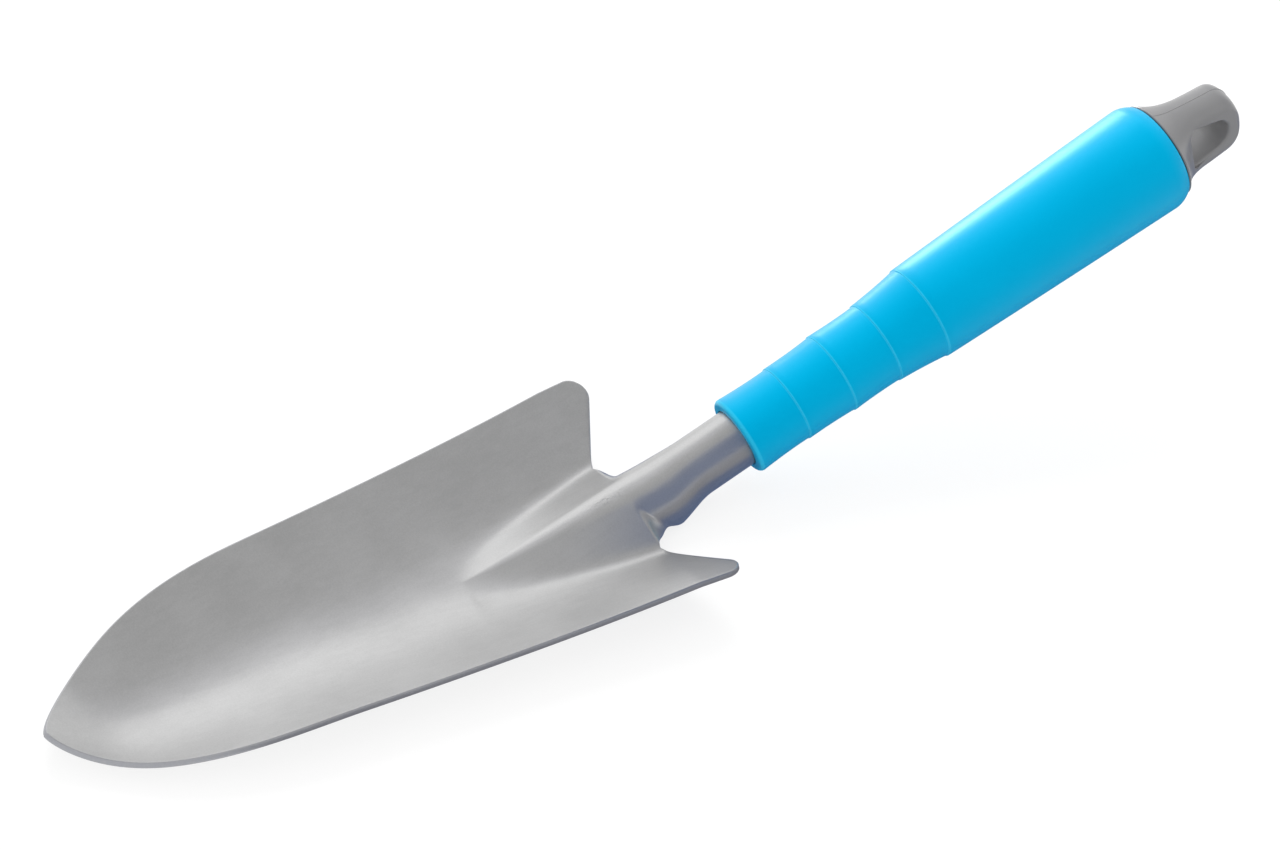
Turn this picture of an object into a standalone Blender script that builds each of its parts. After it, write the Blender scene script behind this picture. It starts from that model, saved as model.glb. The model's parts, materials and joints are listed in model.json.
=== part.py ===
"""Planting trowel: a pressed steel blade with a rolled neck, a stepped grip and a grey hang cap.

Everything is drawn in the handle's own frame: +Y runs along the handle axis to the rear, y = 0 is the
front face of the grip, +X is to the side and +Z is the side of the blade that holds the soil. At the end
the whole tool is laid down on a bench, with its origin under the middle of its bounding box.
"""
import math

import bmesh
import bpy
import numpy as np
from mathutils import Vector

MM = 0.001

# Sheet and neck
SHEET = 1.5 * MM
NECK_RADIUS = 7.5 * MM
NECK_LENGTH = 32.2 * MM
NECK_CURL_LENGTH = 21.5 * MM
NECK_FLARE_LENGTH = 24.5 * MM
NECK_ROUND_LENGTH = 12.5 * MM
NECK_SEAM_GAP = 0.8 * MM
TANG_DEPTH = 78.0 * MM
ROLL_EASE = 1.3

# Blade, seen from above
BLADE_REACH = 141.5 * MM
SHOULDER_HALF_WIDTH = 38.4 * MM
SIDE_TAPER = 0.087
NOSE_LENGTH = 59.0 * MM
NOSE_START_POWER = 2.88
NOSE_END_POWER = 0.704
SHOULDER_SWEEP = math.radians(33.9)
SHOULDER_CORNER_RADIUS = 3.8 * MM

# Blade, pressed form
CRANK = math.radians(20.7)
KEEL_DEPTH = 3.8 * MM
WING_SLOPE = 0.56
DISH_ROUND_ENDS = 11.5 * MM
DISH_ROUND_MIDDLE = 19.5 * MM
NOSE_SAG = 2.5 * MM
NOSE_SAG_START = 80.0 * MM
NOSE_SAG_END = 125.0 * MM
TIP_LIFT = 6.6 * MM
TIP_LIFT_LENGTH = 22.0 * MM

# Boss
BOSS_LENGTH = 44.5 * MM
BOSS_FOOT_HALF_WIDTH = 16.5 * MM
BOSS_FOOT_POWER = 0.5
BOSS_CREST_RISE = 1.1 * MM
BOSS_CREST_SHARE = 0.545
VALLEY_FILLET = 1.2 * MM

# Notch between shoulder and neck, measured along the sheet from the crest
NOTCH_RADIUS = 2.3 * MM
NOTCH_CENTRE = 17.5 * MM
NOTCH_LENGTH = 5.8 * MM
TAB_EDGE_SLOPE = 1.05

# Grip
GRIP_LENGTH = 128.8 * MM
GRIP_FRONT_RADIUS = 10.2 * MM
GRIP_LIP_ROUND = 1.3 * MM
STEP_STATIONS = (14.9 * MM, 28.3 * MM, 41.8 * MM, 55.2 * MM)
STEP_RADII_BEFORE = (9.87 * MM, 10.45 * MM, 10.63 * MM, 12.3 * MM)
STEP_RADII_AFTER = (10.13 * MM, 10.7 * MM, 10.9 * MM, 12.57 * MM)
STEP_BLEND = 0.35 * MM
WAIST_DEPTH = 0.14 * MM
BARREL_REAR_RADIUS = 14.45 * MM
BARREL_CROWN = 0.077 * MM
GRIP_END_RADIUS = 13.1 * MM
GRIP_END_ROUND = 4.0 * MM

# Core
CORE_FRONT = 55.7 * MM
CORE_SKIN = 2.2 * MM
CORE_STOP = 2.0 * MM
CORE_STOP_BORE_RADIUS = 6.0 * MM
CORE_CHAMFER = 0.6 * MM

# Hang cap
CAP_SEAM = 0.4 * MM
CAP_BASE_RADIUS = 12.9 * MM
CAP_FLANGE = 1.2 * MM
CAP_LENGTH = 22.1 * MM
TAB_HALF_THICKNESS = 5.4 * MM
TAB_SCOOP_LENGTH = 8.6 * MM
TAB_ROOT_HALF_HEIGHT = 11.7 * MM
TAB_END_HALF_HEIGHT = 7.5 * MM
TAB_ROOT_BLEND = 3.0 * MM
TAB_EDGE_ROUND = 2.5 * MM
TAB_END_ROUND = 5.6 * MM
TAB_END_FULLNESS = 2.4
SPIGOT_RADIUS = 8.7 * MM
SPIGOT_LENGTH = 14.0 * MM
SPIGOT_WALL = 1.7 * MM
SPIGOT_FLOOR = 1.0 * MM
HOLE_START = 6.5 * MM
HOLE_LENGTH = 10.9 * MM
HOLE_HALF_HEIGHT = 5.9 * MM
HOLE_CORNER_RADIUS = 1.2 * MM
HOLE_END_RADIUS = 4.6 * MM
HOLE_LIP_ROUND = 0.8 * MM

# Fits
CLEARANCE = 0.3 * MM

# The tool balances here, just in front of the neck's rolled edge, so it rests on that edge and its nose
BALANCE_POINT = -25.0 * MM

# Fineness of the meshes
STRIP_NARROWING = 0.58
STRIP_COLUMNS = 10
WING_COLUMNS = 8
NOSE_ROWS = 17
NOSE_ROW_CROWDING = 1.8
FLAT_ROWS = 9
BOSS_ROWS = 15
HEEL_ROWS = 4
NOTCH_ROWS = 4
ROLL_ROWS = 14
TANG_ROWS = 3
TURNED_STEPS = 40
ARC_POINTS = 5
WAIST_SHARES = (0.25, 0.5, 0.75)
BARREL_SHARES = (0.15, 0.3, 0.5, 0.7, 0.85)
CAP_SIDES = 40
CAP_SCOOP_ROWS = 8
CAP_END_ROWS = 8
CAP_END_CLOSING = 0.998
LIP_SHARES = (0.0, 0.3, 0.65, 1.0)
SMOOTH_ANGLE = math.radians(32)

# Stations worked out from the sizes above
Y_NOTCH = -NECK_LENGTH
Y_TIP = Y_NOTCH - BLADE_REACH
Y_APEX = Y_NOTCH - BOSS_LENGTH
Y_CURLED = -NECK_CURL_LENGTH
Y_FLARE = -NECK_FLARE_LENGTH
Y_ROUND = -NECK_ROUND_LENGTH
Y_CAP = GRIP_LENGTH + CAP_SEAM
TANG_BORE_RADIUS = NECK_RADIUS + CLEARANCE
SOCKET_RADIUS = SPIGOT_RADIUS + CLEARANCE


def smooth_step(value):
    """Go from 0 to 1 with level ends."""
    value = min(max(value, 0.0), 1.0)
    return value * value * (3.0 - 2.0 * value)


def smooth_max(first, second, fillet):
    """The higher of two surfaces, with their meeting line filled by a fillet."""
    gap = first - second
    return 0.5 * (first + second + math.sqrt(gap * gap + fillet * fillet))


def soft_ramp(run, slope):
    """A line that starts level at zero and bends softly to its slope."""
    return 0.5 * slope * (run + math.sqrt(run * run + VALLEY_FILLET * VALLEY_FILLET))


# Materials
def make_material(name, colour, roughness, metallic):
    material = bpy.data.materials.new(name)
    material.use_nodes = True
    shader = material.node_tree.nodes["Principled BSDF"]
    shader.inputs["Base Color"].default_value = (*colour, 1.0)
    shader.inputs["Roughness"].default_value = roughness
    shader.inputs["Metallic"].default_value = metallic
    material.diffuse_color = (*colour, 1.0)
    return material


# The blade's outline, seen from above
def side_half_width(y):
    """Half the width between the blade's long edges, with its pointed nose."""
    y_corner = Y_NOTCH + math.tan(SHOULDER_SWEEP) * (SHOULDER_HALF_WIDTH - BOSS_FOOT_HALF_WIDTH)
    straight = SHOULDER_HALF_WIDTH - SIDE_TAPER * (y_corner - y)
    along = (Y_TIP + NOSE_LENGTH - y) / NOSE_LENGTH
    if along <= 0.0:
        return straight
    return straight * (1.0 - min(along, 1.0) ** NOSE_START_POWER) ** NOSE_END_POWER


def shoulder_corner():
    """Centre, outermost middle point and two tangent points of the arc that rounds a shoulder."""
    sweep = math.tan(SHOULDER_SWEEP)
    side_normal = Vector((1.0, -SIDE_TAPER)).normalized()
    rear_normal = Vector((-sweep, 1.0)).normalized()
    side_point = Vector((side_half_width(Y_NOTCH), Y_NOTCH))
    rear_point = Vector((BOSS_FOOT_HALF_WIDTH, Y_NOTCH))
    side_reach = side_normal.dot(side_point) - SHOULDER_CORNER_RADIUS
    rear_reach = rear_normal.dot(rear_point) - SHOULDER_CORNER_RADIUS
    cross = side_normal.x * rear_normal.y - side_normal.y * rear_normal.x
    centre = Vector((
        (side_reach * rear_normal.y - rear_reach * side_normal.y) / cross,
        (side_normal.x * rear_reach - rear_normal.x * side_reach) / cross,
    ))
    middle = centre + (side_normal + rear_normal).normalized() * SHOULDER_CORNER_RADIUS
    side_tangent = centre + side_normal * SHOULDER_CORNER_RADIUS
    rear_tangent = centre + rear_normal * SHOULDER_CORNER_RADIUS
    return centre, middle, side_tangent, rear_tangent


CORNER_CENTRE, CORNER_MIDDLE, SIDE_TANGENT, REAR_TANGENT = shoulder_corner()


def outer_edge(y):
    """Half width of the blade with its rounded shoulders, up to the middle of the corner arc."""
    if y <= SIDE_TANGENT.y:
        return side_half_width(y)
    offset = min(y - CORNER_CENTRE.y, SHOULDER_CORNER_RADIUS)
    return CORNER_CENTRE.x + math.sqrt(SHOULDER_CORNER_RADIUS ** 2 - offset ** 2)


def rear_edge(x):
    """Station of the swept-back rear edge of a shoulder, from the notch to the corner arc."""
    if x >= REAR_TANGENT.x:
        offset = x - CORNER_CENTRE.x
        return CORNER_CENTRE.y + math.sqrt(SHOULDER_CORNER_RADIUS ** 2 - offset ** 2)
    return Y_NOTCH + soft_ramp(x - BOSS_FOOT_HALF_WIDTH, math.tan(SHOULDER_SWEEP))


# The blade's pressed form
def keel_height(y):
    """Height of the bottom of the dish along the middle of the blade, boss left out."""
    forward = Y_NOTCH - y
    straight = -KEEL_DEPTH + math.tan(CRANK) * forward
    sag = NOSE_SAG * smooth_step((forward - NOSE_SAG_START) / (NOSE_SAG_END - NOSE_SAG_START))
    lift = max(0.0, 1.0 - (y - Y_TIP) / TIP_LIFT_LENGTH)
    return straight - sag + TIP_LIFT * lift ** 3


def dish_height(x, y):
    """The plain dish: straight wings that meet in a round bottom."""
    share = min(max((Y_NOTCH - y) / BLADE_REACH, 0.0), 1.0)
    bottom = DISH_ROUND_ENDS + (DISH_ROUND_MIDDLE - DISH_ROUND_ENDS) * 4.0 * share * (1.0 - share)
    return keel_height(y) + WING_SLOPE * (math.hypot(x, bottom) - bottom)


def boss_foot(y):
    """Half width of the boss where its flanks meet the wings."""
    left = max(0.0, (y - Y_APEX) / BOSS_LENGTH)
    return BOSS_FOOT_HALF_WIDTH * left ** BOSS_FOOT_POWER


def crest_height(y):
    """Height of the boss's crest: straight from the neck's top line down to the keel at the apex."""
    at_notch = NECK_RADIUS + BOSS_CREST_RISE
    share = (Y_NOTCH - y) / BOSS_LENGTH
    return at_notch + share * (keel_height(Y_APEX) - at_notch)


def boss_section(y):
    """Crest radius and flank angle of the boss, its flank just touching the dish at the foot."""
    foot = max(boss_foot(y), VALLEY_FILLET)
    radius = BOSS_CREST_SHARE * foot
    rise = dish_height(foot, y) - crest_height(y) + radius
    reach = math.hypot(foot, rise)
    angle = math.atan2(foot, rise) - math.acos(min(1.0, radius / reach))
    return radius, max(angle, 0.0)


def rolled_point(along, crest, radius, angle):
    """A point of a sheet that bends over a crest and then runs straight, at a distance along it."""
    bend = radius * angle
    if along <= bend:
        turned = along / radius
        return radius * math.sin(turned), crest - radius * (1.0 - math.cos(turned))
    rest = along - bend
    x = radius * math.sin(angle) + rest * math.cos(angle)
    z = crest - radius * (1.0 - math.cos(angle)) - rest * math.sin(angle)
    return x, z


def boss_height(x, y):
    radius, angle = boss_section(y)
    crest = crest_height(y)
    touch = radius * math.sin(angle)
    if x <= touch:
        return crest - radius + math.sqrt(radius * radius - x * x)
    return crest - radius * (1.0 - math.cos(angle)) - (x - touch) * math.tan(angle)


def pressed_height(x, y):
    """The upper face of the blade: the higher of dish and boss, with a fillet in the valley."""
    return smooth_max(dish_height(x, y), boss_height(x, y), VALLEY_FILLET)


# The neck, where the sheet rolls from the boss into a tube
def strip_half_length(y):
    """Half the length of the sheet round the neck: cut in by the notch, then out to the seam."""
    full = math.pi * NECK_RADIUS - 0.5 * NECK_SEAM_GAP
    into_notch = min(y - Y_NOTCH, NOTCH_RADIUS) - NOTCH_RADIUS
    cut_in = NOTCH_CENTRE - math.sqrt(NOTCH_RADIUS ** 2 - into_notch ** 2)
    return min(full, cut_in + soft_ramp(y - Y_NOTCH - NOTCH_LENGTH, TAB_EDGE_SLOPE))


def neck_point(share, y):
    """A point of the neck's outer face, at a share of the way from the crest to the sheet's edge."""
    along = share * strip_half_length(y)
    curled = min(1.0, (y - Y_NOTCH) / (Y_CURLED - Y_NOTCH))
    rounded = smooth_step((y - Y_FLARE) / (Y_ROUND - Y_FLARE))
    start_radius, start_angle = boss_section(Y_NOTCH)
    radius = start_radius + (NECK_RADIUS - start_radius) * rounded
    angle = start_angle + (math.pi - start_angle) * curled ** ROLL_EASE
    crest = NECK_RADIUS + (crest_height(Y_NOTCH) - NECK_RADIUS) * (1.0 - smooth_step(curled))
    x, z = rolled_point(along, crest, radius, angle)
    filled = smooth_max(dish_height(x, y), z, VALLEY_FILLET)
    leave = smooth_step((y - Y_NOTCH) / NOTCH_RADIUS)
    return Vector((x, y, filled + (z - filled) * leave))


def strip_edge(y):
    """Half width of the blade's middle strip of faces, which becomes the neck behind the notch."""
    at_notch, _ = rolled_point(NOTCH_CENTRE, crest_height(Y_NOTCH), *boss_section(Y_NOTCH))
    forward = min(1.0, (Y_NOTCH - y) / BOSS_LENGTH)
    narrow = at_notch * (1.0 - STRIP_NARROWING * forward)
    nose_edge = side_half_width(y) / side_half_width(Y_TIP + NOSE_LENGTH)
    return narrow * min(1.0, nose_edge)


def blade_stations():
    """Stations of the rows of faces from the tip to the notch, close together where the form turns."""
    nose_end = Y_TIP + NOSE_LENGTH
    nose = [Y_TIP + NOSE_LENGTH * (k / NOSE_ROWS) ** NOSE_ROW_CROWDING for k in range(1, NOSE_ROWS + 1)]
    flat = np.linspace(nose_end, Y_APEX, FLAT_ROWS + 1)[1:]
    heel_start = Y_NOTCH - HEEL_ROWS * VALLEY_FILLET
    boss = np.linspace(Y_APEX, heel_start, BOSS_ROWS + 1)[1:]
    heel = np.linspace(heel_start, Y_NOTCH, HEEL_ROWS + 1)[1:]
    return [*nose, *flat, *boss, *heel]


def neck_stations():
    """Stations behind the notch: round the notch, along the roll and down the tang."""
    turns = [0.5 * math.pi * k / NOTCH_ROWS for k in range(1, NOTCH_ROWS + 1)]
    notch = [Y_NOTCH + NOTCH_RADIUS * (1.0 - math.cos(turn)) for turn in turns]
    roll = np.linspace(notch[-1], Y_ROUND, ROLL_ROWS + 1)[1:]
    tang = np.linspace(Y_ROUND, TANG_DEPTH, TANG_ROWS + 1)[1:]
    return [*notch, *roll, *tang]


def blade_row(y):
    """Points of one row of the right half of the blade, from the middle to the long edge."""
    edge = strip_edge(y)
    row = []
    for column in range(STRIP_COLUMNS + 1):
        x = edge * column / STRIP_COLUMNS
        row.append((x, y))
    back = max(0.0, 1.0 - (Y_NOTCH - y) / (BLADE_REACH - NOSE_LENGTH)) ** 2
    y_outer = y + back * (CORNER_MIDDLE.y - Y_NOTCH)
    notch_edge = strip_edge(Y_NOTCH)
    for column in range(1, WING_COLUMNS + 1):
        share = 0.5 - 0.5 * math.cos(math.pi * column / WING_COLUMNS)
        x = edge + (outer_edge(y_outer) - edge) * share
        x_rear = notch_edge + (CORNER_MIDDLE.x - notch_edge) * share
        row.append((x, y + back * (rear_edge(x_rear) - Y_NOTCH)))
    return [Vector((x, y_point, pressed_height(x, y_point))) for x, y_point in row]


def neck_row(y):
    return [neck_point(column / STRIP_COLUMNS, y) for column in range(STRIP_COLUMNS + 1)]


def add_rows(mesh, rows):
    """Join rows of points with faces that look up and out, and return the last row's vertices."""
    last = None
    for row in rows:
        verts = [point if isinstance(point, bmesh.types.BMVert) else mesh.verts.new(point) for point in row]
        if last is not None:
            for column in range(min(len(last), len(verts)) - 1):
                mesh.faces.new((last[column], last[column + 1], verts[column + 1], verts[column]))
        last = verts
    return last


def make_blade(material):
    """Blade, boss, neck and tang: one open sheet, mirrored and then given its thickness."""
    mesh = bmesh.new()
    heel = add_rows(mesh, [blade_row(y) for y in blade_stations()])
    strip = heel[:STRIP_COLUMNS + 1]
    add_rows(mesh, [strip, *[neck_row(y) for y in neck_stations()]])
    blade = make_object("blade", mesh, material)
    mirror = blade.modifiers.new("mirror", "MIRROR")
    mirror.merge_threshold = 0.01 * MM
    sheet = blade.modifiers.new("sheet", "SOLIDIFY")
    sheet.thickness = SHEET
    sheet.offset = -1.0
    sheet.use_even_offset = True
    sheet.use_quality_normals = True
    return blade


# Objects
def make_object(name, mesh, material):
    """Turn a bmesh into a smooth shaded object of the trowel's collection."""
    data = bpy.data.meshes.new(name)
    mesh.to_mesh(data)
    mesh.free()
    data.materials.append(material)
    data.shade_smooth()
    data.set_sharp_from_angle(angle=SMOOTH_ANGLE)
    piece = bpy.data.objects.new(name, data)
    TROWEL.objects.link(piece)
    piece.parent = HANDLE_AXIS
    return piece


def make_turned(name, profile, material):
    """Turn a closed profile of (radius, station) points round the handle axis."""
    mesh = bmesh.new()
    verts = [mesh.verts.new((radius, 0.0, station)) for radius, station in profile]
    for first, second in zip(verts, verts[1:] + verts[:1]):
        mesh.edges.new((first, second))
    piece = make_object(name, mesh, material)
    piece.rotation_euler.x = -0.5 * math.pi
    screw = piece.modifiers.new("turn", "SCREW")
    screw.axis = "Z"
    screw.steps = TURNED_STEPS
    screw.render_steps = TURNED_STEPS
    screw.use_smooth_shade = True
    screw.use_merge_vertices = True
    screw.merge_threshold = 0.01 * MM
    return piece


def quarter_arc(start, end, points):
    """Points of a quarter ellipse that leaves start along the radius and reaches end along the axis."""
    turns = [0.5 * math.pi * k / points for k in range(1, points + 1)]
    radius_step = end[0] - start[0]
    station_step = end[1] - start[1]
    return [
        (start[0] + radius_step * math.sin(turn), start[1] + station_step * (1.0 - math.cos(turn)))
        for turn in turns
    ]


# The grip
def barrel_radius(station):
    """Outer radius of the long rear part of the grip: a cone with a slight crown."""
    start = STEP_STATIONS[-1]
    end = GRIP_LENGTH - GRIP_END_ROUND
    share = (station - start) / (end - start)
    cone = STEP_RADII_AFTER[-1] + (BARREL_REAR_RADIUS - STEP_RADII_AFTER[-1]) * share
    return cone + 4.0 * BARREL_CROWN * share * (1.0 - share)


def grip_outline():
    """The grip's outer profile from front to rear."""
    lip_start = (GRIP_FRONT_RADIUS - GRIP_LIP_ROUND, 0.0)
    outline = [lip_start, *quarter_arc(lip_start, (GRIP_FRONT_RADIUS, GRIP_LIP_ROUND), ARC_POINTS)]
    start_radius = GRIP_FRONT_RADIUS
    start = GRIP_LIP_ROUND
    for station, before, after in zip(STEP_STATIONS, STEP_RADII_BEFORE, STEP_RADII_AFTER):
        end = station - STEP_BLEND
        for share in WAIST_SHARES:
            waist = WAIST_DEPTH * 4.0 * share * (1.0 - share)
            radius = start_radius + (before - start_radius) * share - waist
            outline.append((radius, start + (end - start) * share))
        outline.append((before, end))
        outline.append((after, station))
        start_radius = after
        start = station
    end = GRIP_LENGTH - GRIP_END_ROUND
    for share in BARREL_SHARES:
        station = start + (end - start) * share
        outline.append((barrel_radius(station), station))
    outline.append((BARREL_REAR_RADIUS, end))
    drop = BARREL_REAR_RADIUS - GRIP_END_RADIUS
    for step in range(1, ARC_POINTS + 1):
        share = step / ARC_POINTS
        outline.append((BARREL_REAR_RADIUS - drop * share ** 2, end + GRIP_END_ROUND * share))
    return outline


def core_radius(station):
    """Outer radius of the core: the barrel less the grip's skin and a clearance."""
    return barrel_radius(station) - CORE_SKIN - CLEARANCE


def make_grip(material):
    """The blue grip: its outer profile, then back along the bore over the neck and the core."""
    pocket_front = core_radius(CORE_FRONT) + CLEARANCE
    pocket_rear = core_radius(GRIP_LENGTH - GRIP_END_ROUND) + CLEARANCE
    outline = grip_outline()
    bore = [
        (TANG_BORE_RADIUS, 0.0),
        (TANG_BORE_RADIUS, CORE_FRONT - CLEARANCE),
        (pocket_front, CORE_FRONT - CLEARANCE),
        (pocket_rear, GRIP_LENGTH - GRIP_END_ROUND),
        (pocket_rear, GRIP_LENGTH),
    ]
    return make_turned("grip_sleeve", [*reversed(outline), *bore], material)


def make_core(material):
    """The hidden core: a bore for the tang, a stop ring, and a socket for the cap's spigot."""
    front = core_radius(CORE_FRONT)
    rear = core_radius(GRIP_LENGTH - GRIP_END_ROUND)
    stop = TANG_DEPTH + CLEARANCE
    profile = [
        (rear, GRIP_LENGTH),
        (rear, GRIP_LENGTH - GRIP_END_ROUND),
        (front, CORE_FRONT + CORE_CHAMFER),
        (front - CORE_CHAMFER, CORE_FRONT),
        (TANG_BORE_RADIUS, CORE_FRONT),
        (TANG_BORE_RADIUS, stop),
        (CORE_STOP_BORE_RADIUS, stop),
        (CORE_STOP_BORE_RADIUS, stop + CORE_STOP),
        (SOCKET_RADIUS, stop + CORE_STOP),
        (SOCKET_RADIUS, GRIP_LENGTH),
    ]
    return make_turned("handle_core", profile, material)


# The hang cap
def rounded_rectangle(half_width, half_height, round_radius, sides):
    """Points of a rounded rectangle, the same number in each quarter, which is a circle at full round."""
    round_radius = min(round_radius, half_width, half_height)
    quarter = sides // 4
    points = []
    for corner in range(4):
        sign_x = 1.0 if corner in (0, 3) else -1.0
        sign_z = 1.0 if corner in (0, 1) else -1.0
        for k in range(quarter):
            turn = 0.5 * math.pi * (corner + (k + 0.5) / quarter)
            x = sign_x * (half_width - round_radius) + round_radius * math.cos(turn)
            z = sign_z * (half_height - round_radius) + round_radius * math.sin(turn)
            points.append((x, z))
    return points


def cap_section(station):
    """Half thickness, half height and corner round of the cap at a distance behind the seam."""
    scooped = smooth_step((station - CAP_FLANGE) / (TAB_SCOOP_LENGTH - CAP_FLANGE))
    half_width = CAP_BASE_RADIUS + (TAB_HALF_THICKNESS - CAP_BASE_RADIUS) * math.sqrt(scooped)
    tab = TAB_ROOT_HALF_HEIGHT + (TAB_END_HALF_HEIGHT - TAB_ROOT_HALF_HEIGHT) * station / CAP_LENGTH
    blend = smooth_step((station - CAP_FLANGE) / TAB_ROOT_BLEND)
    half_height = CAP_BASE_RADIUS + (tab - CAP_BASE_RADIUS) * blend
    round_radius = CAP_BASE_RADIUS + (TAB_EDGE_ROUND - CAP_BASE_RADIUS) * scooped
    into_end = max(0.0, (station - CAP_LENGTH + TAB_END_ROUND) / TAB_END_ROUND)
    half_height *= math.sqrt(max(0.0, 1.0 - into_end ** TAB_END_FULLNESS))
    into_edge = max(0.0, (station - CAP_LENGTH + TAB_EDGE_ROUND) / TAB_EDGE_ROUND)
    half_width -= TAB_EDGE_ROUND * (1.0 - math.sqrt(max(0.0, 1.0 - into_edge ** 2)))
    return half_width, half_height, round_radius


def cap_stations():
    """Distances behind the seam of the cap's sections, close together at the rounded end."""
    scoop = np.linspace(CAP_FLANGE, TAB_SCOOP_LENGTH, CAP_SCOOP_ROWS)
    end_start = CAP_LENGTH - TAB_END_ROUND
    turns = [0.5 * math.pi * k / CAP_END_ROWS for k in range(CAP_END_ROWS + 1)]
    end = [end_start + TAB_END_ROUND * math.sin(turn) * CAP_END_CLOSING for turn in turns]
    return [0.0, *scoop, *end]


def loft(mesh, sections):
    """Join closed sections of equal point counts with faces and close both ends."""
    rings = [[mesh.verts.new(point) for point in section] for section in sections]
    for first, second in zip(rings, rings[1:]):
        for k in range(len(first)):
            following = (k + 1) % len(first)
            mesh.faces.new((first[k], first[following], second[following], second[k]))
    mesh.faces.new(list(reversed(rings[0])))
    mesh.faces.new(rings[-1])
    bmesh.ops.recalc_face_normals(mesh, faces=mesh.faces)


def hull_of_circles(circles, grow, sides):
    """Outline of a belt round circles (y, z, radius), each grown by the same amount."""
    outline = []
    for k in range(sides):
        turn = 2.0 * math.pi * k / sides
        across = Vector((math.cos(turn), math.sin(turn)))
        reach = [across.x * y + across.y * z + radius for y, z, radius in circles]
        y, z, radius = circles[reach.index(max(reach))]
        outline.append((y + (radius + grow) * across.x, z + (radius + grow) * across.y))
    return outline


def make_hang_hole_cutter():
    """A D-shaped bar through the tab with flared mouths, which leave a rounded lip on each side."""
    y_start = Y_CAP + HOLE_START
    corner_y = y_start + HOLE_CORNER_RADIUS
    corner_z = HOLE_HALF_HEIGHT - HOLE_CORNER_RADIUS
    end_y = y_start + HOLE_LENGTH - HOLE_END_RADIUS
    circles = [
        (corner_y, corner_z, HOLE_CORNER_RADIUS),
        (corner_y, -corner_z, HOLE_CORNER_RADIUS),
        (end_y, 0.0, HOLE_END_RADIUS),
    ]
    depths = [HOLE_LIP_ROUND * share for share in LIP_SHARES]
    half = [(2.0 * TAB_HALF_THICKNESS, HOLE_LIP_ROUND)]
    for depth in depths:
        grow = HOLE_LIP_ROUND - math.sqrt(HOLE_LIP_ROUND ** 2 - (HOLE_LIP_ROUND - depth) ** 2)
        half.append((TAB_HALF_THICKNESS - depth, grow))
    stations = [(-x, grow) for x, grow in half] + [(x, grow) for x, grow in reversed(half)]
    mesh = bmesh.new()
    sections = []
    for x, grow in stations:
        outline = hull_of_circles(circles, grow, CAP_SIDES)
        sections.append([(x, y, z) for y, z in outline])
    loft(mesh, sections)
    data = bpy.data.meshes.new("hang_hole_cutter")
    mesh.to_mesh(data)
    mesh.free()
    cutter = bpy.data.objects.new("hang_hole_cutter", data)
    CUTTERS.objects.link(cutter)
    cutter.parent = HANDLE_AXIS
    cutter.hide_render = True
    cutter.display_type = "WIRE"
    return cutter


def make_cap(material):
    """The hang cap: a hollow spigot, a round flange, scooped flanks and a flat tab with a hole."""
    inner = SPIGOT_RADIUS - SPIGOT_WALL
    spigot_front = Y_CAP - SPIGOT_LENGTH
    round_stations = [
        (inner, Y_CAP - SPIGOT_FLOOR),
        (inner, spigot_front),
        (SPIGOT_RADIUS, spigot_front),
        (SPIGOT_RADIUS, Y_CAP),
    ]
    sections = []
    for radius, y in round_stations:
        outline = rounded_rectangle(radius, radius, radius, CAP_SIDES)
        sections.append([(x, y, z) for x, z in outline])
    for station in cap_stations():
        outline = rounded_rectangle(*cap_section(station), CAP_SIDES)
        sections.append([(x, Y_CAP + station, z) for x, z in outline])
    mesh = bmesh.new()
    loft(mesh, sections)
    cap = make_object("hang_cap", mesh, material)
    cut = cap.modifiers.new("hang_hole", "BOOLEAN")
    cut.operation = "DIFFERENCE"
    cut.solver = "EXACT"
    cut.object = make_hang_hole_cutter()
    return cap


# Laying the tool on the bench
def world_points(pieces):
    """All corners of the finished pieces, as one array in world metres."""
    bpy.context.view_layer.update()
    graph = bpy.context.evaluated_depsgraph_get()
    clouds = []
    for piece in pieces:
        finished = piece.evaluated_get(graph)
        clouds.append([finished.matrix_world @ vertex.co for vertex in finished.data.vertices])
    return np.array([point[:] for cloud in clouds for point in cloud])


def resting_pitch(points):
    """Tilt of the line under the tool that touches it in front of and behind the balance point."""
    side_view = points[np.argsort(points[:, 1])][:, 1:]
    lower = []
    for point in side_view:
        while len(lower) > 1:
            edge = lower[-1] - lower[-2]
            step = point - lower[-2]
            if edge[0] * step[1] - edge[1] * step[0] > 0.0:
                break
            lower.pop()
        lower.append(point)
    for front, rear in zip(lower, lower[1:]):
        if front[0] <= BALANCE_POINT <= rear[0]:
            return math.atan2(rear[1] - front[1], rear[0] - front[0])
    return 0.0


def lay_on_bench(pieces):
    HANDLE_AXIS.rotation_euler.x = -resting_pitch(world_points(pieces))
    points = world_points(pieces)
    low = points.min(axis=0)
    high = points.max(axis=0)
    middle = 0.5 * (low + high)
    HANDLE_AXIS.location = (-middle[0], -middle[1], -low[2])
    bpy.context.view_layer.update()


for old in list(bpy.data.objects):
    bpy.data.objects.remove(old, do_unlink=True)

TROWEL = bpy.data.collections.new("planting_trowel")
CUTTERS = bpy.data.collections.new("cutters")
bpy.context.scene.collection.children.link(TROWEL)
bpy.context.scene.collection.children.link(CUTTERS)
HANDLE_AXIS = bpy.data.objects.new("handle_axis", None)
TROWEL.objects.link(HANDLE_AXIS)

blade_steel = make_material("satin_silver_steel", (0.42, 0.42, 0.42), 0.38, 0.75)
core_plastic = make_material("core_grey_plastic", (0.16, 0.16, 0.17), 0.5, 0.0)
grip_blue = make_material("soft_blue_grip", (0.0, 0.42, 0.78), 0.48, 0.0)
cap_grey = make_material("satin_grey_plastic", (0.24, 0.24, 0.25), 0.35, 0.0)

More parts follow.
